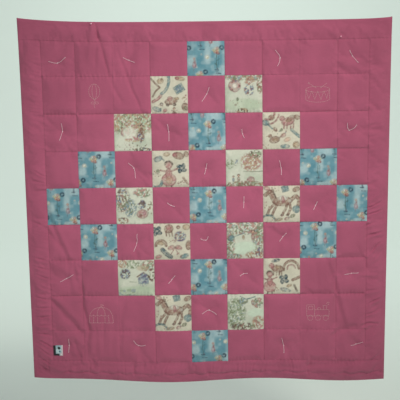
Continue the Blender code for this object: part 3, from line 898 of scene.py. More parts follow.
def arch_square(p):
    p.arc((0.76, 0.28), 0.21, 0, 190, 0.075, BROWN)
    p.arc((0.76, 0.28), 0.11, 10, 190, 0.050, ROSE_INK)
    p.oval((0.38, 0.28), (0.18, 0.11), BROWN, -10)
    p.disc((0.22, 0.20), 0.080, ROSE_INK)
    for foot in (0.28, 0.36, 0.44, 0.50):
        p.line([(foot, 0.34), (foot - 0.01, 0.46)], 0.040, BROWN)
    p.oval((0.40, 0.25), (0.08, 0.05), TAN, -10)
    windmill(p.figure((0.56, 0.58), 0.27), DARK_TEAL)
    doll(p.figure((0.17, 0.60), 0.74), ROSE_INK, ROSE_INK)
    p.line([(0.80, 0.60), (0.98, 0.52)], 0.085, BROWN)
    p.line([(0.84, 0.74), (0.92, 0.92)], 0.060, UMBER)
    p.oval((0.60, 0.88), (0.16, 0.06), GREY, -15)
    p.oval((0.34, 0.06), (0.12, 0.05), DARK_TEAL, 10)
    p.oval((0.70, 0.76), (0.08, 0.05), TAN, 20)
    p.dabs((0.42, 0.88), (0.16, 0.09), 12, (ROSE_INK, BROWN, TAN), 43)


TOY_GROUND = linear("#D6D1BD")
TOY_DESIGNS = {(2, 4): ribbon_square, (3, 7): hen_square, (4, 4): doll_square, (5, 7): horse_square,
               (6, 4): windmill_square, (7, 7): arch_square, (8, 4): horse_square}


def toy_print(u, v, cell):
    """A nursery print of scattered toys, loosely brushed on unbleached cream."""
    p = Print(u, v, TOY_GROUND)
    cloudy_ground(p, linear("#C9C6B2"), 0.25, 0.5, 2)
    TOY_DESIGNS[cell](p)
    return p.colours


def house(p):
    p.box((0, 0), (0.42, 0.30), SLATE)
    p.line([(-0.5, -0.30), (0, -0.62), (0.5, -0.30)], 0.12, BROWN)
    for across in (-0.2, 0.2):
        p.box((across, -0.04), (0.08, 0.10), CREAM)


def carousel(p):
    """A round of small riders about a pale middle."""
    p.disc((0, 0), 0.5, ROSE_INK)
    p.disc((0, 0), 0.24, CREAM)
    for number in range(9):
        angle = 2 * math.pi * number / 9
        p.disc((0.38 * math.cos(angle), 0.38 * math.sin(angle)), 0.07, (UMBER, SLATE, CREAM)[number % 3])


def villager(p, coat):
    p.oval((0, 0.15), (0.16, 0.28), coat)
    p.disc((0, -0.22), 0.12, PEACH)
    p.arc((0, -0.22), 0.12, 10, 170, 0.08, UMBER)


CROWD = (BROWN, FADED_ROSE, SLATE, OLIVE, UMBER)
GARDEN = (FADED_ROSE, OLIVE, LEAF, TAN, BROWN)
WATER = (SLATE, TEAL, GREY, OLIVE)
HEDGE = (LEAF, GREY, OLIVE, FADED_ROSE)
POND = linear("#CBDCC6")


def fair_square(p):
    thicket(p, (0.55, 0.04), (0.62, 0.12), HEDGE, 51)
    thicket(p, (0.28, 0.10), (0.14, 0.10), WATER, 61)
    carousel(p.figure((0.26, 0.28), 0.34))
    thicket(p, (0.64, 0.38), (0.14, 0.18), (SLATE, PURPLE, BROWN), 86)
    thicket(p, (0.66, 0.14), (0.16, 0.12), (BROWN, TAN, FADED_ROSE), 87)
    thicket(p, (0.93, 0.24), (0.09, 0.26), (FADED_ROSE, OLIVE, BROWN), 88)
    wash(p, (0.50, 0.80), (0.50, 0.18), MEADOW, 0.5)
    p.oval((0.33, 0.64), (0.035, 0.055), OLIVE)
    p.oval((0.28, 0.79), (0.035, 0.030), BROWN)
    p.dabs((0.50, 0.72), (0.42, 0.14), 14, (FADED_ROSE, OLIVE, TAN), 53, 0.012)
    thicket(p, (0.46, 0.95), (0.20, 0.08), (BROWN, TAN, UMBER), 71)


def market_square(p):
    thicket(p, (0.50, 0.24), (0.66, 0.36), (BROWN, ROSE_INK, OLIVE, MEADOW, TAN), 52)
    thicket(p, (0.70, 0.62), (0.12, 0.16), (UMBER, PURPLE, BROWN), 62)
    thicket(p, (0.30, 0.50), (0.14, 0.12), HEDGE, 85)
    villager(p.figure((0.22, 0.46), 0.28), ROSE_INK)
    villager(p.figure((0.74, 0.40), 0.32), BROWN)
    wash(p, (0.42, 0.50), (0.20, 0.14), CREAM, 0.6)
    thicket(p, (0.50, 0.68), (0.24, 0.08), (ROSE_INK, TAN), 84)
    p.dabs((0.50, 0.86), (0.46, 0.10), 30, (ROSE_INK, BROWN, OLIVE), 56, 0.016)
    thicket(p, (0.75, 0.97), (0.24, 0.07), CROWD, 72)


def garden_square(p):
    thicket(p, (0.68, 0.33), (0.30, 0.26), (ROSE_INK, BROWN, FADED_ROSE, TAN), 53)
    thicket(p, (0.80, 0.12), (0.18, 0.12), (OLIVE, UMBER, LEAF), 63)
    thicket(p, (0.10, 0.38), (0.12, 0.14), (LEAF, OLIVE), 89)
    thicket(p, (0.28, 0.34), (0.08, 0.10), (UMBER, SLATE), 90)
    p.line([(0.48, 0.58), (0.70, 0.60), (1.0, 0.59)], 0.022, OLIVE)
    villager(p.figure((0.34, 0.76), 0.28), BROWN)
    villager(p.figure((0.20, 0.78), 0.22), SLATE)
    ball(p.figure((0.67, 0.83), 0.22), ROSE_INK, GREY)
    thicket(p, (0.50, 0.94), (0.60, 0.10), GARDEN, 73)


def dance_square(p):
    thicket(p, (0.18, 0.34), (0.22, 0.36), CROWD, 54, thick=0.28)
    thicket(p, (0.40, 0.56), (0.18, 0.26), WATER, 64, thick=0.22)
    thicket(p, (0.72, 0.14), (0.26, 0.14), HEDGE, 74)
    thicket(p, (0.70, 0.46), (0.12, 0.14), (SLATE, PURPLE, UMBER), 91)
    p.oval((0.71, 0.72), (0.16, 0.13), ROSE_INK)
    p.oval((0.76, 0.70), (0.05, 0.06), PINK)
    p.oval((0.66, 0.76), (0.04, 0.05), BROWN)
    thicket(p, (0.18, 0.90), (0.16, 0.10), (BROWN, TAN, UMBER), 75)
    thicket(p, (0.92, 0.56), (0.08, 0.20), (BROWN, OLIVE), 92)


def pond_square(p):
    thicket(p, (0.50, 0.12), (0.66, 0.22), HEDGE, 55)
    thicket(p, (0.86, 0.42), (0.18, 0.36), HEDGE, 65)
    thicket(p, (0.10, 0.62), (0.14, 0.40), HEDGE, 68)
    wash(p, (0.50, 0.66), (0.30, 0.14), POND)
    wash(p, (0.36, 0.80), (0.18, 0.10), POND)
    p.line([(0.04, 0.46), (0.16, 0.40), (0.34, 0.33), (0.50, 0.28)], 0.026, TEAL)
    p.oval((0.12, 0.42), (0.10, 0.08), TEAL, 25)
    p.oval((0.46, 0.40), (0.04, 0.07), TAN, 10)
    villager(p.figure((0.72, 0.33), 0.38), FADED_ROSE)
    thicket(p, (0.76, 0.90), (0.26, 0.12), (ROSE_INK, BROWN, TAN), 76)
    thicket(p, (0.86, 0.80), (0.14, 0.14), (UMBER, PURPLE, BROWN), 81)
    thicket(p, (0.18, 0.94), (0.26, 0.10), HEDGE, 77)


def house_square(p):
    thicket(p, (0.40, 0.12), (0.24, 0.12), (LEAF, OLIVE, LEAF), 56)
    thicket(p, (0.12, 0.10), (0.14, 0.12), (BROWN, TAN, FADED_ROSE), 66)
    thicket(p, (0.84, 0.16), (0.22, 0.16), HEDGE, 78)
    thicket(p, (0.20, 0.38), (0.15, 0.16), (SLATE, PURPLE, GREY, UMBER), 69)
    wash(p, (0.68, 0.22), (0.16, 0.08), TAN, 0.5)
    house(p.figure((0.70, 0.56), 0.34))
    thicket(p, (0.70, 0.54), (0.16, 0.20), (SLATE, GREY, PURPLE), 93)
    thicket(p, (0.92, 0.42), (0.12, 0.20), (OLIVE, UMBER), 82)
    wash(p, (0.50, 0.88), (0.56, 0.16), MEADOW, 0.6)
    thicket(p, (0.30, 0.90), (0.34, 0.12), (LEAF, GREY), 94, 0.007)
    p.line([(0.32, 0.60), (0.50, 0.61)], 0.020, LEAF)


def orchard_square(p):
    thicket(p, (0.22, 0.52), (0.30, 0.46), (LEAF, GREY, LEAF, OLIVE), 57)
    p.line([(0.36, 0.06), (0.50, 0.13), (0.64, 0.11), (0.76, 0.07)], 0.034, TEAL)
    thicket(p, (0.44, 0.18), (0.14, 0.10), WATER, 67)
    p.oval((0.70, 0.22), (0.05, 0.08), FADED_ROSE)
    thicket(p, (0.84, 0.24), (0.16, 0.16), HEDGE, 83)
    wash(p, (0.80, 0.52), (0.26, 0.12), POND)
    thicket(p, (0.84, 0.80), (0.18, 0.20), (BROWN, ROSE_INK, TAN), 79)
    thicket(p, (0.42, 0.90), (0.36, 0.12), (BROWN, OLIVE, UMBER), 80)


SCENE_GROUND = linear("#D3D6C4")
SCENE_DESIGNS = {(2, 6): fair_square, (3, 3): market_square, (4, 6): garden_square, (5, 3): dance_square,
                 (6, 6): pond_square, (7, 3): house_square, (8, 6): orchard_square}


def scene_print(u, v, cell):
    """A nursery print of small village scenes, finely drawn on a pale green-cream ground."""
    p = Print(u, v, SCENE_GROUND)
    cloudy_ground(p, linear("#B5C0AA"), 0.35, 0.6, 4)
    SCENE_DESIGNS[cell](p)
    return p.colours


# Where each sky square was cut from the repeat: the place of a flower head in it.
SKY_SHIFTS = {(1, 5): (0.80, 0.25), (3, 5): (0.55, 0.30), (4, 2): (0.44, 0.21), (4, 8): (0.50, 0.28),
              (5, 1): (0.30, 0.23), (5, 5): (0.55, 0.19), (5, 9): (0.25, 0.20), (6, 2): (0.41, 0.16),
              (6, 8): (0.42, 0.13), (7, 5): (0.52, 0.15), (9, 5): (0.32, 0.16)}

# --- making pieces --------------------------------------------------------------------------------

NEAR_SEAM = (0.0, 0.0007, 0.0015, 0.0026, 0.0042)  # grid lines beside a seam, where the cloth bends most
TUCKED = 0.95  # share of the height at which a turned-in seam allowance is left
PLAIN_STEP, PRINT_STEP, BORDER_STEP, BACK_STEP = 0.0026, 0.0014, 0.0022, 0.0060
TURNED_ROWS = ((0.0030, 0.10), (0.0009, 0.14), (0.0002, 0.34), (0.0, 0.62), (0.0003, 0.88))
EDGE_ROWS = (0.0010, 0.0022, 0.0040)


def place_piece(mesh, name, material, slot, nodes=()):
    mesh.materials.append(material)
    mesh.shade_smooth()
    piece = bpy.data.objects.new(name, mesh)
    bpy.context.scene.collection.objects.link(piece)
    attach(piece, "root")
    if nodes:
        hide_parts(*nodes)
    return piece


def seamed(start, end, step):
    """Grid lines from one seam to the next, each with its share of the relief, ends tucked in."""
    length, side = abs(end - start), math.copysign(1, end - start)
    close = np.array(NEAR_SEAM)
    count = round((length - 2 * close[-1]) / step) + 1
    middle = np.linspace(close[-1], length - close[-1], count)
    run = np.concatenate([close[:-1], middle, length - close[-2::-1]])
    inset = 0.00005
    places = [start + side * inset, *(start + side * run), end - side * inset]
    return [(place, TUCKED if number in (0, len(places) - 1) else 1.0) for number, place in enumerate(places)]


def turned_end(edge, side):
    """Grid lines where the cloth rolls round the quilt's edge on to its back, from the back to the front."""
    rolled = [(edge + side * inset, share) for inset, share in TURNED_ROWS]
    return rolled + [(edge + side * inset, 1.0) for inset in EDGE_ROWS]


def edged(edge, seam, step):
    """Grid lines from the quilt's outer edge to a seam."""
    side = math.copysign(1, seam - edge)
    return turned_end(edge, side) + seamed(edge + side * EDGE_ROWS[-1], seam, step)[2:]


def edge_to_edge(start, end, step):
    """Grid lines over the full width, both ends rolled round the quilt's edges."""
    side = math.copysign(1, end - start)
    inner = abs(end - start) - 2 * EDGE_ROWS[-1]
    run = np.linspace(0, inner, round(inner / step) + 1)[1:-1]
    first = turned_end(start, side)
    return first + [(start + side * (EDGE_ROWS[-1] + r), 1.0) for r in run] + turned_end(end, -side)[::-1]


def cloth_mesh(name, across, up, height, cloth_colour, seed, facing_front=True):
    """A grid of cloth laid over the flat quilt's lines, raised by height(x, z), hung, and given its colours,
    painted seam shade included where they have it.
    """
    x_at, x_share = np.array(across).T
    z_at, z_share = np.array(up).T
    bm = bmesh.new()
    bmesh.ops.create_grid(bm, x_segments=len(x_at) - 1, y_segments=len(z_at) - 1, size=1)
    if not facing_front:
        bmesh.ops.reverse_faces(bm, faces=bm.faces)
    mesh = bpy.data.meshes.new(name)
    bm.to_mesh(mesh)
    bm.free()
    co = np.empty(len(mesh.vertices) * 3)
    mesh.vertices.foreach_get("co", co)
    co = co.reshape(-1, 3)
    i = np.rint((co[:, 0] + 1) / 2 * (len(x_at) - 1)).astype(int)
    j = np.rint((co[:, 1] + 1) / 2 * (len(z_at) - 1)).astype(int)
    x, z = x_at[i], z_at[j]
    hung_x, hung_z = hang(x, z)
    raised = height(x, z) * x_share[i] * z_share[j]
    mesh.vertices.foreach_set("co", np.stack([hung_x, -raised, hung_z], axis=1).ravel())
    colours = np.ones((len(x), 4))
    colours[:, :3] = cloth_colour(x, z)
    mesh.color_attributes.new("cloth_colour", "FLOAT_COLOR", "POINT").data.foreach_set("color", colours.ravel())
    corners = np.empty(len(mesh.loops), dtype=np.int32)
    mesh.loops.foreach_get("vertex_index", corners)
    shift = np.random.RandomState(seed).uniform(0, 0.2, 2)
    flat = np.stack([x + shift[0], z + shift[1]], axis=1)[corners]
    mesh.uv_layers.new(name="cloth").data.foreach_set("uv", flat.ravel())
    mesh.update()
    return mesh


def thickened(piece, thickness):
    """Gives cloth its thickness, inwards from its outer face."""
    layer = piece.modifiers.new("cloth thickness", "SOLIDIFY")
    layer.thickness = thickness
    layer.offset = -1


def rose_dye_and_seam_shade(seed):
    """Rose cotton, a little paler on the ridge beside each seam where it has rubbed, with painted shade
    darkening each seam's groove, and a little different from piece to piece.
    """
    tone = 1 + 0.03 * np.random.RandomState(seed).uniform(-1, 1)

    def cloth_colour(x, z):
        # Paler on the rubbed ridge a few millimetres from each seam; the darkening right in the seam is
        # painted shade of its groove.
        rubbed_ridge_and_seam_shade = bump(seam_distance(x, z) - 0.0035, 0.002) * 0.04 - bump(seam_distance(x, z), 0.0010) * 0.03
        return ROSE * (tone + rubbed_ridge_and_seam_shade + 0.03 * lumps(x, z, 0.03, seed % 7))[:, None]
    return cloth_colour


def printed_dye_and_seam_shade(row, column):
    """Colours of a printed square over its own width and height, with painted shade along its seams."""
    left, top = X_LINES[column], Z_LINES[row]

    def cloth_colour(x, z):
        u, v = (x - left) / SQUARE, (top - z) / SQUARE
        if (row, column) in SKY_CELLS:
            colours = sky_print(u, v, SKY_SHIFTS[row, column])
        elif (row, column) in TOY_CELLS:
            colours = toy_print(u, v, (row, column))
        else:
            colours = scene_print(u, v, (row, column))
        # Darker in each seam's groove, which is painted shade, and unevenly worn over the square.
        seam_shade_and_wear = 1 - 0.08 * bump(seam_distance(x, z), 0.0010) + 0.05 * lumps(x, z, 0.004, 5)
        return np.clip(colours * seam_shade_and_wear[:, None], 0, 1)
    return cloth_colour


def corner_of(row, column):
    """The corner field that a plain square belongs to, or None if it lies inside the diamond."""
    half = (COLUMNS + 1) // 2
    if abs(row - half) + abs(column - half) <= half - 1:
        return None
    return ("top" if row < half else "bottom") + "_" + ("left" if column < half else "right")


def square_piece(row, column):
    """One patch of the top, its seam allowances turned in all round."""
    kinds = {"sky": (SKY_CELLS, SKY_COTTON), "toy": (TOY_CELLS, TOY_COTTON),
             "scene": (SCENE_CELLS, SCENE_COTTON)}
    kind, material, slot, step = "rose", COTTON, "rose_cotton", PLAIN_STEP
    node = f"plain_r{row}c{column}"
    for word, (cells, cotton) in kinds.items():
        if (row, column) in cells:
            kind, material, slot, step = word, cotton, f"{word}_print_cotton", PRINT_STEP
            node = f"{word}_print_r{row}c{column}"
    if corner_of(row, column):
        node = f"plain_field_{corner_of(row, column)}"
    seed = 10 * row + column
    cloth_colour = rose_dye_and_seam_shade(seed) if kind == "rose" else printed_dye_and_seam_shade(row, column)
    across = seamed(X_LINES[column], X_LINES[column + 1], step)
    up = seamed(Z_LINES[row + 1], Z_LINES[row], step)
    name = f"patch_{kind}_r{row}c{column}"
    piece = place_piece(cloth_mesh(name, across, up, relief, cloth_colour, seed), name, material, slot, (node,))
    thickened(piece, CLOTH)


def border_piece(side):
    """A border strip, its outer edge rolled round to the back."""
    if side in ("left", "right"):
        up = seamed(Z_LINES[-2], Z_LINES[1], BORDER_STEP)
        outer, inner = (LEFT, X_LINES[1]) if side == "left" else (RIGHT, X_LINES[-2])
        across = edged(outer, inner, BORDER_STEP)
        if side == "right":
            across = across[::-1]
    else:
        across = edge_to_edge(LEFT, RIGHT, BORDER_STEP)
        outer, inner = (TOP, Z_LINES[1]) if side == "top" else (BOTTOM, Z_LINES[-2])
        up = edged(outer, inner, BORDER_STEP)
        if side == "top":
            up = up[::-1]
    seed = 200 + len(side)
    name = f"border_strip_{side}"
    mesh = cloth_mesh(name, across, up, relief, rose_dye_and_seam_shade(seed), seed)
    piece = place_piece(mesh, name, COTTON, "rose_cotton", (f"border_{side}",))
    thickened(piece, CLOTH)


def back_relief(x, z):
    """How far the backing lies in front of the plane of the back: drawn in at each tie."""
    height = 0.0006 + 0.0005 * lumps(x, z, 0.05, 3) + 0.0002 * lumps(x, z, 0.018, 4)
    for knot_x, knot_z in KNOTS:
        height = height + 0.0016 * np.exp(-np.hypot(x - knot_x, z - knot_z) / 0.012)
    edge = np.minimum.reduce([x - LEFT, RIGHT - x, TOP - z, z - BOTTOM])
    return np.maximum(height + 0.0008 * np.exp(-edge / 0.004), 0.0001)


BACK_INSET, BACK_TURNED = 0.0012, 0.0003  # how far in the backing stops, and how far its edge turns in


def backing_piece():
    """The backing, one whole cloth, its edges turned in along the rolled border."""
    def lined(start, end):
        side = math.copysign(1, end - start)
        inner = abs(end - start) - 2 * BACK_INSET
        run = np.linspace(0, inner, round(inner / BACK_STEP) + 1)
        places = [start + side * (BACK_INSET + r) for r in run]
        turned = side * BACK_TURNED
        return [(places[0] + turned, 3.0), *((p, 1.0) for p in places), (places[-1] - turned, 3.0)]

    mesh = cloth_mesh("backing_cloth", lined(LEFT, RIGHT), lined(BOTTOM, TOP), back_relief, rose_dye_and_seam_shade(301),
                      301, False)
    piece = place_piece(mesh, "backing_cloth", COTTON, "rose_cotton", ("backing",))
    thickened(piece, CLOTH)


WADDING_BACK, WADDING_LEAST = 0.0035, 0.0002  # its back's distance from the quilt's, its least thickness


def wadding_piece():
    """The wadding, filling the space between the layers and just clear of both."""
    reach, clear, step, margin = 0.0060, 0.0017, 0.0070, 0.0040

    def filled(x, z):
        lowest = np.full(len(x), FAR)
        for across in np.linspace(-reach, reach, 5):
            for up in np.linspace(-reach, reach, 5):
                lowest = np.minimum(lowest, relief(x + across, z + up))
        return np.maximum(lowest - CLOTH - clear, WADDING_BACK + WADDING_LEAST)

    def spread(start, end):
        return [(p, 1.0) for p in np.linspace(start, end, round((end - start) / step) + 1)]

    mesh = cloth_mesh("wadding_fill", spread(LEFT + margin, RIGHT - margin),
                      spread(BOTTOM + margin, TOP - margin), filled, lambda x, z: np.ones((len(x), 3)), 302)
    bm = bmesh.new()
    bm.from_mesh(mesh)
    faces = bm.faces[:]
    extruded = bmesh.ops.extrude_face_region(bm, geom=faces, use_keep_orig=True)
    for vertex in (g for g in extruded["geom"] if isinstance(g, bmesh.types.BMVert)):
        vertex.co.y = -WADDING_BACK
    bmesh.ops.recalc_face_normals(bm, faces=bm.faces)
    bm.to_mesh(mesh)
    bm.free()
    piece = place_piece(mesh, "wadding_fill", WADDING_FIBRE, "wadding_polyester", ("wadding",))


def on_top(x, z, lift):
    """A point over the hung top, lift in front of its outer face."""
    x, z = np.atleast_1d(x).astype(float), np.atleast_1d(z).astype(float)
    hung_x, hung_z = hang(x, z)
    return np.stack([hung_x, -(relief(x, z) + lift), hung_z], axis=1)


def strands_mesh(name, strands, radius):
    """A mesh of round strands. Each is its points and each point's share of the radius."""
    curve = bpy.data.curves.new(name, "CURVE")
    curve.dimensions = "3D"
    curve.bevel_depth = radius
    curve.bevel_resolution = 1
    curve.use_fill_caps = True
    for points, shares in strands:
        spline = curve.splines.new("POLY")
        spline.points.add(len(points) - 1)
        spline.points.foreach_set("co", np.column_stack([points, np.ones(len(points))]).ravel())
        spline.points.foreach_set("radius", np.asarray(shares, float))
    drawn = bpy.data.objects.new(name, curve)
    bpy.context.scene.collection.objects.link(drawn)
    mesh = bpy.data.meshes.new_from_object(drawn.evaluated_get(bpy.context.evaluated_depsgraph_get()))
    bpy.data.objects.remove(drawn)
    bpy.data.curves.remove(curve)
    bm = bmesh.new()
    bm.from_mesh(mesh)
    bmesh.ops.recalc_face_normals(bm, faces=bm.faces)
    bm.to_mesh(mesh)
    bm.free()
    mesh.materials.clear()
    return mesh


PLIES, PLY_RADIUS, PLY_TURN, TWIST = 3, 0.00031, 0.00034, 0.0042


def plied(path, frayed):
    """Three plies twisted round a path. frayed opens the plies at its last points."""
    path = np.asarray(path)
    steps = np.gradient(path, axis=0)
    steps /= np.linalg.norm(steps, axis=1)[:, None]
    side = np.cross(steps, (0.3, -0.9, 0.3))
    side /= np.linalg.norm(side, axis=1)[:, None]
    other = np.cross(steps, side)
    run = np.concatenate([[0], np.cumsum(np.linalg.norm(np.diff(path, axis=0), axis=1))])
    opened = 1 + frayed * 2.2 * ramp(run, run[-1] - 0.004, run[-1])
    shares = 1 - frayed * 0.6 * ramp(run, run[-1] - 0.003, run[-1])
    strands = []
    for ply in range(PLIES):
        angle = 2 * math.pi * (run / TWIST + ply / PLIES)
        outward = np.cos(angle)[:, None] * side + np.sin(angle)[:, None] * other
        strands.append((path + outward * (PLY_TURN * opened)[:, None], shares))
    return strands


THROUGH = 0.58  # how far the tails leave the knot along one smooth curve, against each along its own line
TAIL_POINTS, TAIL_SWAY = 26, 0.03
KNOT_POINTS, KNOT_SIZE = 28, 0.0011
TIE_HALF, TIE_ROUND = 0.0022, 0.0006  # half the length of the stitch under a knot, and its corners


def tail_path(knot, end, turning, sway):
    """A tail that lies over the top from its knot, by way of a turning point, to its end."""
    t = np.linspace(0, 1, TAIL_POINTS)
    wander = sway * np.sin(2 * math.pi * t)
    x = knot[0] + 2 * t * (1 - t) * turning[0] + t * t * end[0] - wander * end[1]
    z = knot[1] + 2 * t * (1 - t) * turning[1] + t * t * end[1] + wander * end[0]
    lift = 0.0009 + 0.0008 * np.sin(math.pi * t) + 0.0005 * ramp(t, 0.8, 1)
    smooth = np.convolve(np.pad(relief(x, z), 2, mode="edge"), np.ones(5) / 5, mode="valid")
    hung_x, hung_z = hang(x, z)
    return np.stack([hung_x, -(np.maximum(smooth, relief(x, z)) + lift), hung_z], axis=1)


def knot_path(knot, front):
    """A small overhand knot just in front of the top."""
    around = np.linspace(0, 2 * math.pi, KNOT_POINTS)
    loop_x = knot[0] + KNOT_SIZE * (np.sin(around) + 2 * np.sin(2 * around)) / 3
    loop_z = knot[1] + KNOT_SIZE * (np.cos(around) - 2 * np.cos(2 * around)) / 3
    hung_x, hung_z = hang(loop_x, loop_z)
    return np.stack([hung_x, front - 0.0013 + 0.0007 * np.sin(3 * around), hung_z], axis=1)


def through_path(centre):
    """The stitch under a knot: from the front through every layer, along the back and out again."""
    front, back = centre[1] - 0.0008, 0.0004
    down = [(-TIE_HALF, front), (-TIE_HALF, back - TIE_ROUND), (-TIE_HALF + TIE_ROUND, back)]
    up = [(-along, y) for along, y in down[::-1]]
    corners = [(centre[0] + along * 0.7, y, centre[2] + along * 0.7)
               for along, y in [*down, (0, back + 0.0002), *up]]
    fine, whole = np.linspace(0, len(corners) - 1, 25), np.arange(len(corners))
    return np.stack([np.interp(fine, whole, [p[axis] for p in corners]) for axis in range(3)], axis=1)


def tie_piece(tie, number):
    """A floss tie: a stitch through every layer, a knot in front and two frayed tails."""
    row, column, _, _, *tails = tie
    knot = KNOTS[number]
    draw = np.random.RandomState(400 + number)
    ends = [np.array((math.cos(math.radians(turn)), math.sin(math.radians(turn)))) * length * MM
            for turn, length in (tails[:2], tails[2:])]
    through = ends[0] - ends[1]
    through /= np.hypot(*through)
    strands = []
    for end, way in zip(ends, (1, -1)):
        turning = end * 0.5 * (1 - THROUGH) + way * through * math.hypot(*end) * 0.5 * THROUGH
        strands += plied(tail_path(knot, end, turning, draw.uniform(-TAIL_SWAY, TAIL_SWAY)), 1.0)
    centre = on_top(*knot, 0.0)[0]
    strands += plied(knot_path(knot, centre[1]), 0.0)
    strands += plied(through_path(centre), 0.0)
    name = f"tie_r{row}c{column}"
    place_piece(strands_mesh(name, strands, PLY_RADIUS), name, TIE_FLOSS, "tie_floss")


STITCH, STITCH_GAP, STITCH_RADIUS = 0.0036, 0.0012, 0.00060


def stitches_along(points, lift=0.0002, stitch=STITCH, gap=STITCH_GAP):
    """Backstitches on the top along a line of flat points, each dipping into the cloth at both ends."""
    points = np.asarray(points, float)
    run = np.concatenate([[0], np.cumsum(np.hypot(*np.diff(points, axis=0).T))])
    count = max(1, round(run[-1] / (stitch + gap)))
    each = run[-1] / count
    strands = []
    for number in range(count):
        share = np.array([0.0, 0.18, 0.5, 0.82, 1.0])
        at = number * each + (gap / 2) + share * (each - gap)
        x, z = np.interp(at, run, points[:, 0]), np.interp(at, run, points[:, 1])
        arch = np.array([-0.0005, 0.0, 0.0002, 0.0, -0.0005])
        strands.append((on_top(x, z, lift + arch), (0.5, 0.95, 1.0, 0.95, 0.5)))
    return strands


def curve_points(centre, half, start, end, count=24):
    """Points along an oval arc, angles in degrees anticlockwise from the right, sizes in millimetres."""
    angles = np.radians(np.linspace(start, end, count))
    return np.stack([centre[0] + half[0] * np.cos(angles), centre[1] + half[1] * np.sin(angles)], axis=1)


def balloon_lines():
    """A balloon with its seams, knot, string and bow, in millimetres about the middle of its square."""
    string = np.stack([1.8 * np.sin(np.linspace(0, 7, 20)), np.linspace(-13, -34, 20)], axis=1)
    return [curve_points((0, 11), (15, 20), -85, 265), curve_points((0, 11), (6, 20), -80, 80),
            curve_points((0, 11), (6, 20), 100, 260), [(-3, -9), (0, -13), (3, -9)], string,
            curve_points((-5, -20), (4.5, 3), 0, 330), curve_points((6, -20), (4.5, 3), 180, 510)]


def drum_lines():
    """A toy drum with laced sides and two sticks."""
    lacing = [(-35, 9), (-27, -15), (-19, 6), (-11, -18), (-3, 5), (6, -18), (14, 6), (21, -15), (28, 9)]
    return [curve_points((-3, 10), (32, 8), 0, 360, 40), curve_points((-3, -16), (32, 9), 180, 360),
            [(-35, 10), (-35, -16)], [(29, 10), (29, -16)], lacing,
            [(-26, 26), (-6, 13)], [(22, 27), (4, 13)], curve_points((-27, 27), (2, 2), 0, 330, 8)]


def tent_lines():
    """A round tent with a scalloped edge, a flag and a striped wall."""
    wall = [(-32, -3), (-34, -27), (34, -27), (32, -3)]
    scallops = [curve_points((a, -3), (5.4, 4), 180, 360, 10) for a in range(-27, 28, 11)]
    stripes = [[(a, -8), (a * 1.05, -27)] for a in (-21, -10, 10, 21)]
    return [curve_points((0, -3), (30, 21), 0, 180), curve_points((0, -3), (11, 21), 0, 180), wall,
            [(0, 18), (0, 27), (8, 24), (0, 21)], *scallops, *stripes]


def engine_lines():
    """A toy engine: cab with its window, boiler, chimney, dome and three wheels."""
    cab = [(-32, -12), (-32, 20), (-10, 20), (-10, -12)]
    window = [(-27, 6), (-27, 15), (-15, 15), (-15, 6), (-27, 6)]
    chimney = [(16, 6), (14, 18), (25, 18), (23, 6)]
    wheels = [curve_points((a, -17), (7.5, 7.5), 0, 350, 18) for a in (-22, 0, 22)]
    return [cab, window, [(-10, 6), (31, 6), (31, -12), (-32, -12)], chimney,
            curve_points((3, 6), (5, 6), 0, 180, 12), *wheels, curve_points((28, 24), (4, 3), 0, 330, 8)]


def motif_piece(name, node, row, column, lines):
    x, z = cell_middle(row, column)
    strands = []
    for line in lines:
        strands += stitches_along(np.asarray(line, float) * MM + (x, z))
    mesh = strands_mesh(name, strands, STITCH_RADIUS)
    place_piece(mesh, name, STITCH_THREAD, "motif_thread", (node,))


BLUE_BLACK = linear("#10121C")
LABEL_STEP, LABEL_LIFT, LABEL_CLOTH = 0.0007, 0.0007, 0.0004
LABEL_HEM, LABEL_INSET = 0.004, 0.0016  # cloth turned under across it, and its stitching from its edge


def label_piece():
    """The woven label, a plain picture of shapes in its weave, sewn down round its edge."""
    left, right = LABEL_MIDDLE[0] - LABEL_SIZE[0] / 2, LABEL_MIDDLE[0] + LABEL_SIZE[0] / 2
    bottom, top = LABEL_MIDDLE[1] - LABEL_SIZE[1] / 2, LABEL_MIDDLE[1] + LABEL_SIZE[1] / 2

    def spread(start, end):
        places = np.linspace(start, end, round((end - start) / LABEL_STEP) + 1)
        return [(places[0], 0.93), *((p, 1.0) for p in places), (places[-1], 0.93)]

    def cloth_colour(x, z):
        p = Print((x - left) / LABEL_SIZE[0], (top - z) / LABEL_SIZE[1], linear("#A9C6CE"))
        p.mottle = 1.0
        p.disc((0.56, 0.52), 0.30, linear("#C6E0E4"), 1.0)
        p.box((0.10, 0.5), (0.15, 0.6), BLUE_BLACK, strength=1.0)
        p.box((0.32, 0.95), (0.32, 0.13), BLUE_BLACK, strength=1.0)
        p.oval((0.60, 0.28), (0.15, 0.13), BLUE_BLACK, strength=1.0)
        p.disc((0.68, 0.60), 0.09, linear("#3E7C96"), 1.0)
        p.box((0.94, 0.5), (0.09, 0.6), linear("#F2E6EA"), strength=1.0)
        p.box((0.84, 0.90), (0.13, 0.13), linear("#F2E6EA"), strength=1.0)
        return p.colours

    def raised(x, z):
        return relief(x, z) + LABEL_LIFT

    mesh = cloth_mesh("sewn_label", spread(left, right), spread(bottom, top), raised, cloth_colour, 303)
    piece = place_piece(mesh, "sewn_label", RIBBED_SATIN, "label_satin", ("label",))
    thickened(piece, LABEL_CLOTH)
    start_x, end_x, start_z, end_z = (left + LABEL_INSET, right - LABEL_INSET, top - LABEL_INSET,
                                      bottom + LABEL_INSET)
    corners = [(start_x, start_z), (end_x, start_z), (end_x, end_z), (start_x, end_z), (start_x, start_z)]
    strands = []
    for start, end in zip(corners, corners[1:]):
        strands += stitches_along((start, end), lift=LABEL_LIFT + 0.0002, stitch=0.0018, gap=0.0008)
    mesh = strands_mesh("label_stitching", strands, 0.00022)
    place_piece(mesh, "label_stitching", SEWING_THREAD, "motif_thread")


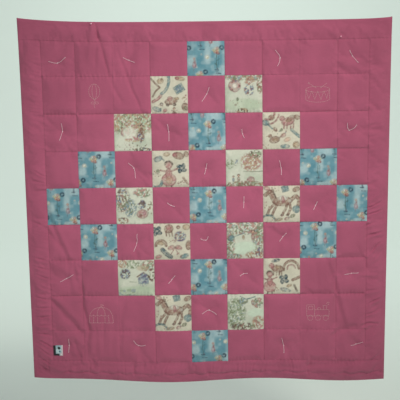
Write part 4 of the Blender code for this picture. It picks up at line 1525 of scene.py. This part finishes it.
def ball_head(side, place):
    """A pin's moulded head: a ball with a parting line round it and a short neck on to the cloth."""
    bm = bmesh.new()
    profile = []
    for number in range(25):
        angle = math.pi * number / 24 * 0.90
        parting = 1 + 0.012 * math.exp(-((angle - math.pi / 2) / 0.05) ** 2)
        profile.append((PIN_HEAD_RADIUS * math.sin(angle) * parting, -PIN_HEAD_RADIUS * math.cos(angle)))
    neck = PIN_HEAD_RADIUS * 0.30
    profile += [(neck, PIN_HEAD_RADIUS * 0.97), (neck, PIN_HEAD_RADIUS * 1.12), (0.0, PIN_HEAD_RADIUS * 1.12)]
    ring = [bm.verts.new((radius, depth, 0)) for radius, depth in profile]
    edges = [bm.edges.new(pair) for pair in zip(ring, ring[1:])]
    bmesh.ops.spin(bm, geom=ring + edges, cent=(0, 0, 0), axis=(0, 1, 0), angle=2 * math.pi, steps=32,
                   use_merge=True)
    bmesh.ops.remove_doubles(bm, verts=bm.verts, dist=1e-6)
    bmesh.ops.recalc_face_normals(bm, faces=bm.faces)
    bmesh.ops.translate(bm, verts=bm.verts, vec=(place[0], -PIN_HEAD_CENTRE, place[1]))
    mesh = bpy.data.meshes.new(f"ball_head_{side}")
    bm.to_mesh(mesh)
    bm.free()
    place_piece(mesh, f"ball_head_{side}", PEARL, "pearl_plastic", (f"pin_head_{side}",))


def make_quilt():
    for row in range(1, COLUMNS + 1):
        for column in range(1, COLUMNS + 1):
            square_piece(row, column)
    for side in ("top", "bottom", "left", "right"):
        border_piece(side)
    wadding_piece()
    backing_piece()
    for number, tie in enumerate(TIES):
        tie_piece(tie, number)
    motif_piece("balloon_stitches", "stitched_balloon", 2, 2, balloon_lines())
    motif_piece("drum_stitches", "stitched_drum", 2, 8, drum_lines())
    motif_piece("tent_stitches", "stitched_tent", 8, 2, tent_lines())
    motif_piece("engine_stitches", "stitched_engine", 8, 8, engine_lines())
    label_piece()
    for side, place in (("left", LEFT_PIN), ("right", RIGHT_PIN)):
        ball_head(side, place)
        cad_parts[f"pin_shank_{side}"].data.materials[0] = PIN_STEEL


# --- the studio -----------------------------------------------------------------------------------

CAMERA_PLACE = (0.022, -3.000, 0.434)
CAMERA_TILT, CAMERA_TURN, CAMERA_ROLL = 7.99, -0.84, -0.87  # degrees down, to the side and over
LENS, SENSOR = 98.25, 36.0
FLOOR_HEIGHT = -0.75
SWEEP_FRONT, SWEEP_BACK, SWEEP_ROUND, SWEEP_TOP, SWEEP_HALF_WIDTH = 6.0, 6.0, 2.5, 6.0, 9.0
BACKDROP = "#E3F0E8"
SKYLIGHT, SKYLIGHT_STRENGTH = "#E9ECEA", 0.27
KEY_PLACE, KEY_POWER = (1.2, -1.8, 2.2), 36
FRONT_PLACE, FRONT_AIM, FRONT_POWER, FRONT_ANGLE = (0.08, -3.0, 0.60), (-0.03, 0.0, 0.05), 148, 30.5
BACK_PLACE, BACK_AIM, BACK_POWER = (0.0, 2.2, 3.8), (0.0, 6.0, 0.0), 135


def placed(made, place, right, up, back):
    """Puts a camera or a lamp at a place, facing away from back, into the scene."""
    rows = zip(np.stack([right, up, back]).T, place)
    made.matrix_world = Matrix([*((*row, part) for row, part in rows), (0, 0, 0, 1)])
    bpy.context.scene.collection.objects.link(made)


def camera():
    tilt, turn, roll = (math.radians(a) for a in (CAMERA_TILT, CAMERA_TURN, CAMERA_ROLL))
    forward = np.array([math.cos(tilt) * math.sin(turn), math.cos(tilt) * math.cos(turn), -math.sin(tilt)])
    level = np.array([math.cos(turn), -math.sin(turn), 0.0])
    upward = np.array([math.sin(tilt) * math.sin(turn), math.sin(tilt) * math.cos(turn), math.cos(tilt)])
    right = math.cos(roll) * level + math.sin(roll) * upward
    up = -math.sin(roll) * level + math.cos(roll) * upward
    made = bpy.data.objects.new("camera", bpy.data.cameras.new("camera"))
    made.data.lens, made.data.sensor_width = LENS, SENSOR
    placed(made, CAMERA_PLACE, right, up, -forward)
    bpy.context.scene.camera = made


def lamp(name, place, aim, size, power, colour):
    made = bpy.data.objects.new(name, bpy.data.lights.new(name, "AREA"))
    made.data.shape, made.data.size = "DISK", size
    made.data.energy = power
    made.data.color = linear(colour)
    back = (np.array(place) - np.array(aim)) / np.linalg.norm(np.array(place) - np.array(aim))
    across = np.cross((0, 0, 1), back)
    across /= np.linalg.norm(across)
    placed(made, place, across, np.cross(back, across), back)


def backdrop():
    """A floor that sweeps up behind into a pale wall, far enough back to stand behind every view."""
    bm = bmesh.new()
    profile = [(-SWEEP_FRONT, FLOOR_HEIGHT), (SWEEP_BACK - SWEEP_ROUND, FLOOR_HEIGHT)]
    for step in range(1, 17):
        angle = math.pi / 2 * step / 16
        profile.append((SWEEP_BACK - SWEEP_ROUND + SWEEP_ROUND * math.sin(angle),
                        FLOOR_HEIGHT + SWEEP_ROUND * (1 - math.cos(angle))))
    profile.append((SWEEP_BACK, SWEEP_TOP))
    line = [bm.verts.new((-SWEEP_HALF_WIDTH, y, z)) for y, z in profile]
    edges = [bm.edges.new(pair) for pair in zip(line, line[1:])]
    extruded = bmesh.ops.extrude_edge_only(bm, edges=edges)
    moved = [g for g in extruded["geom"] if isinstance(g, bmesh.types.BMVert)]
    bmesh.ops.translate(bm, verts=moved, vec=(2 * SWEEP_HALF_WIDTH, 0, 0))
    bmesh.ops.recalc_face_normals(bm, faces=bm.faces)
    mesh = bpy.data.meshes.new("sweep")
    bm.to_mesh(mesh)
    bm.free()
    mesh.shade_smooth()
    painted, _, _ = finish_named("pale painted backdrop", Base_Color=opaque(BACKDROP), Roughness=0.9,
                                 Specular_IOR_Level=0.1)
    mesh.materials.append(painted)
    sweep = bpy.data.objects.new("sweep", mesh)
    bpy.context.scene.collection.objects.link(sweep)
    sweep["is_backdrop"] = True


def studio():
    backdrop()
    world = bpy.data.worlds.new("studio")
    world.use_nodes = True
    world.node_tree.nodes["Background"].inputs["Color"].default_value = opaque(SKYLIGHT)
    world.node_tree.nodes["Background"].inputs["Strength"].default_value = SKYLIGHT_STRENGTH
    bpy.context.scene.world = world
    lamp("key", KEY_PLACE, (0.0, 0, 0.0), 0.7, KEY_POWER, "#FFF8F0")
    lamp("backdrop light", BACK_PLACE, BACK_AIM, 2.5, BACK_POWER, "#FFFFFF")
    flash = bpy.data.objects.new("front", bpy.data.lights.new("front", "SPOT"))
    flash.data.energy, flash.data.shadow_soft_size = FRONT_POWER, 0.25
    flash.data.spot_size, flash.data.spot_blend = math.radians(FRONT_ANGLE), 1.0
    flash.location = FRONT_PLACE
    aim = np.array(FRONT_AIM) - np.array(FRONT_PLACE)
    flash.rotation_euler = (math.atan2(math.hypot(aim[0], aim[1]), -aim[2]), 0, math.atan2(-aim[0], aim[1]))
    bpy.context.scene.collection.objects.link(flash)
    bpy.context.scene.view_settings.view_transform = "Standard"


make_quilt()
studio()
camera()

both_bounds = [[[float(n) for n in corner] for corner in box] for box in (cad_bounds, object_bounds())]
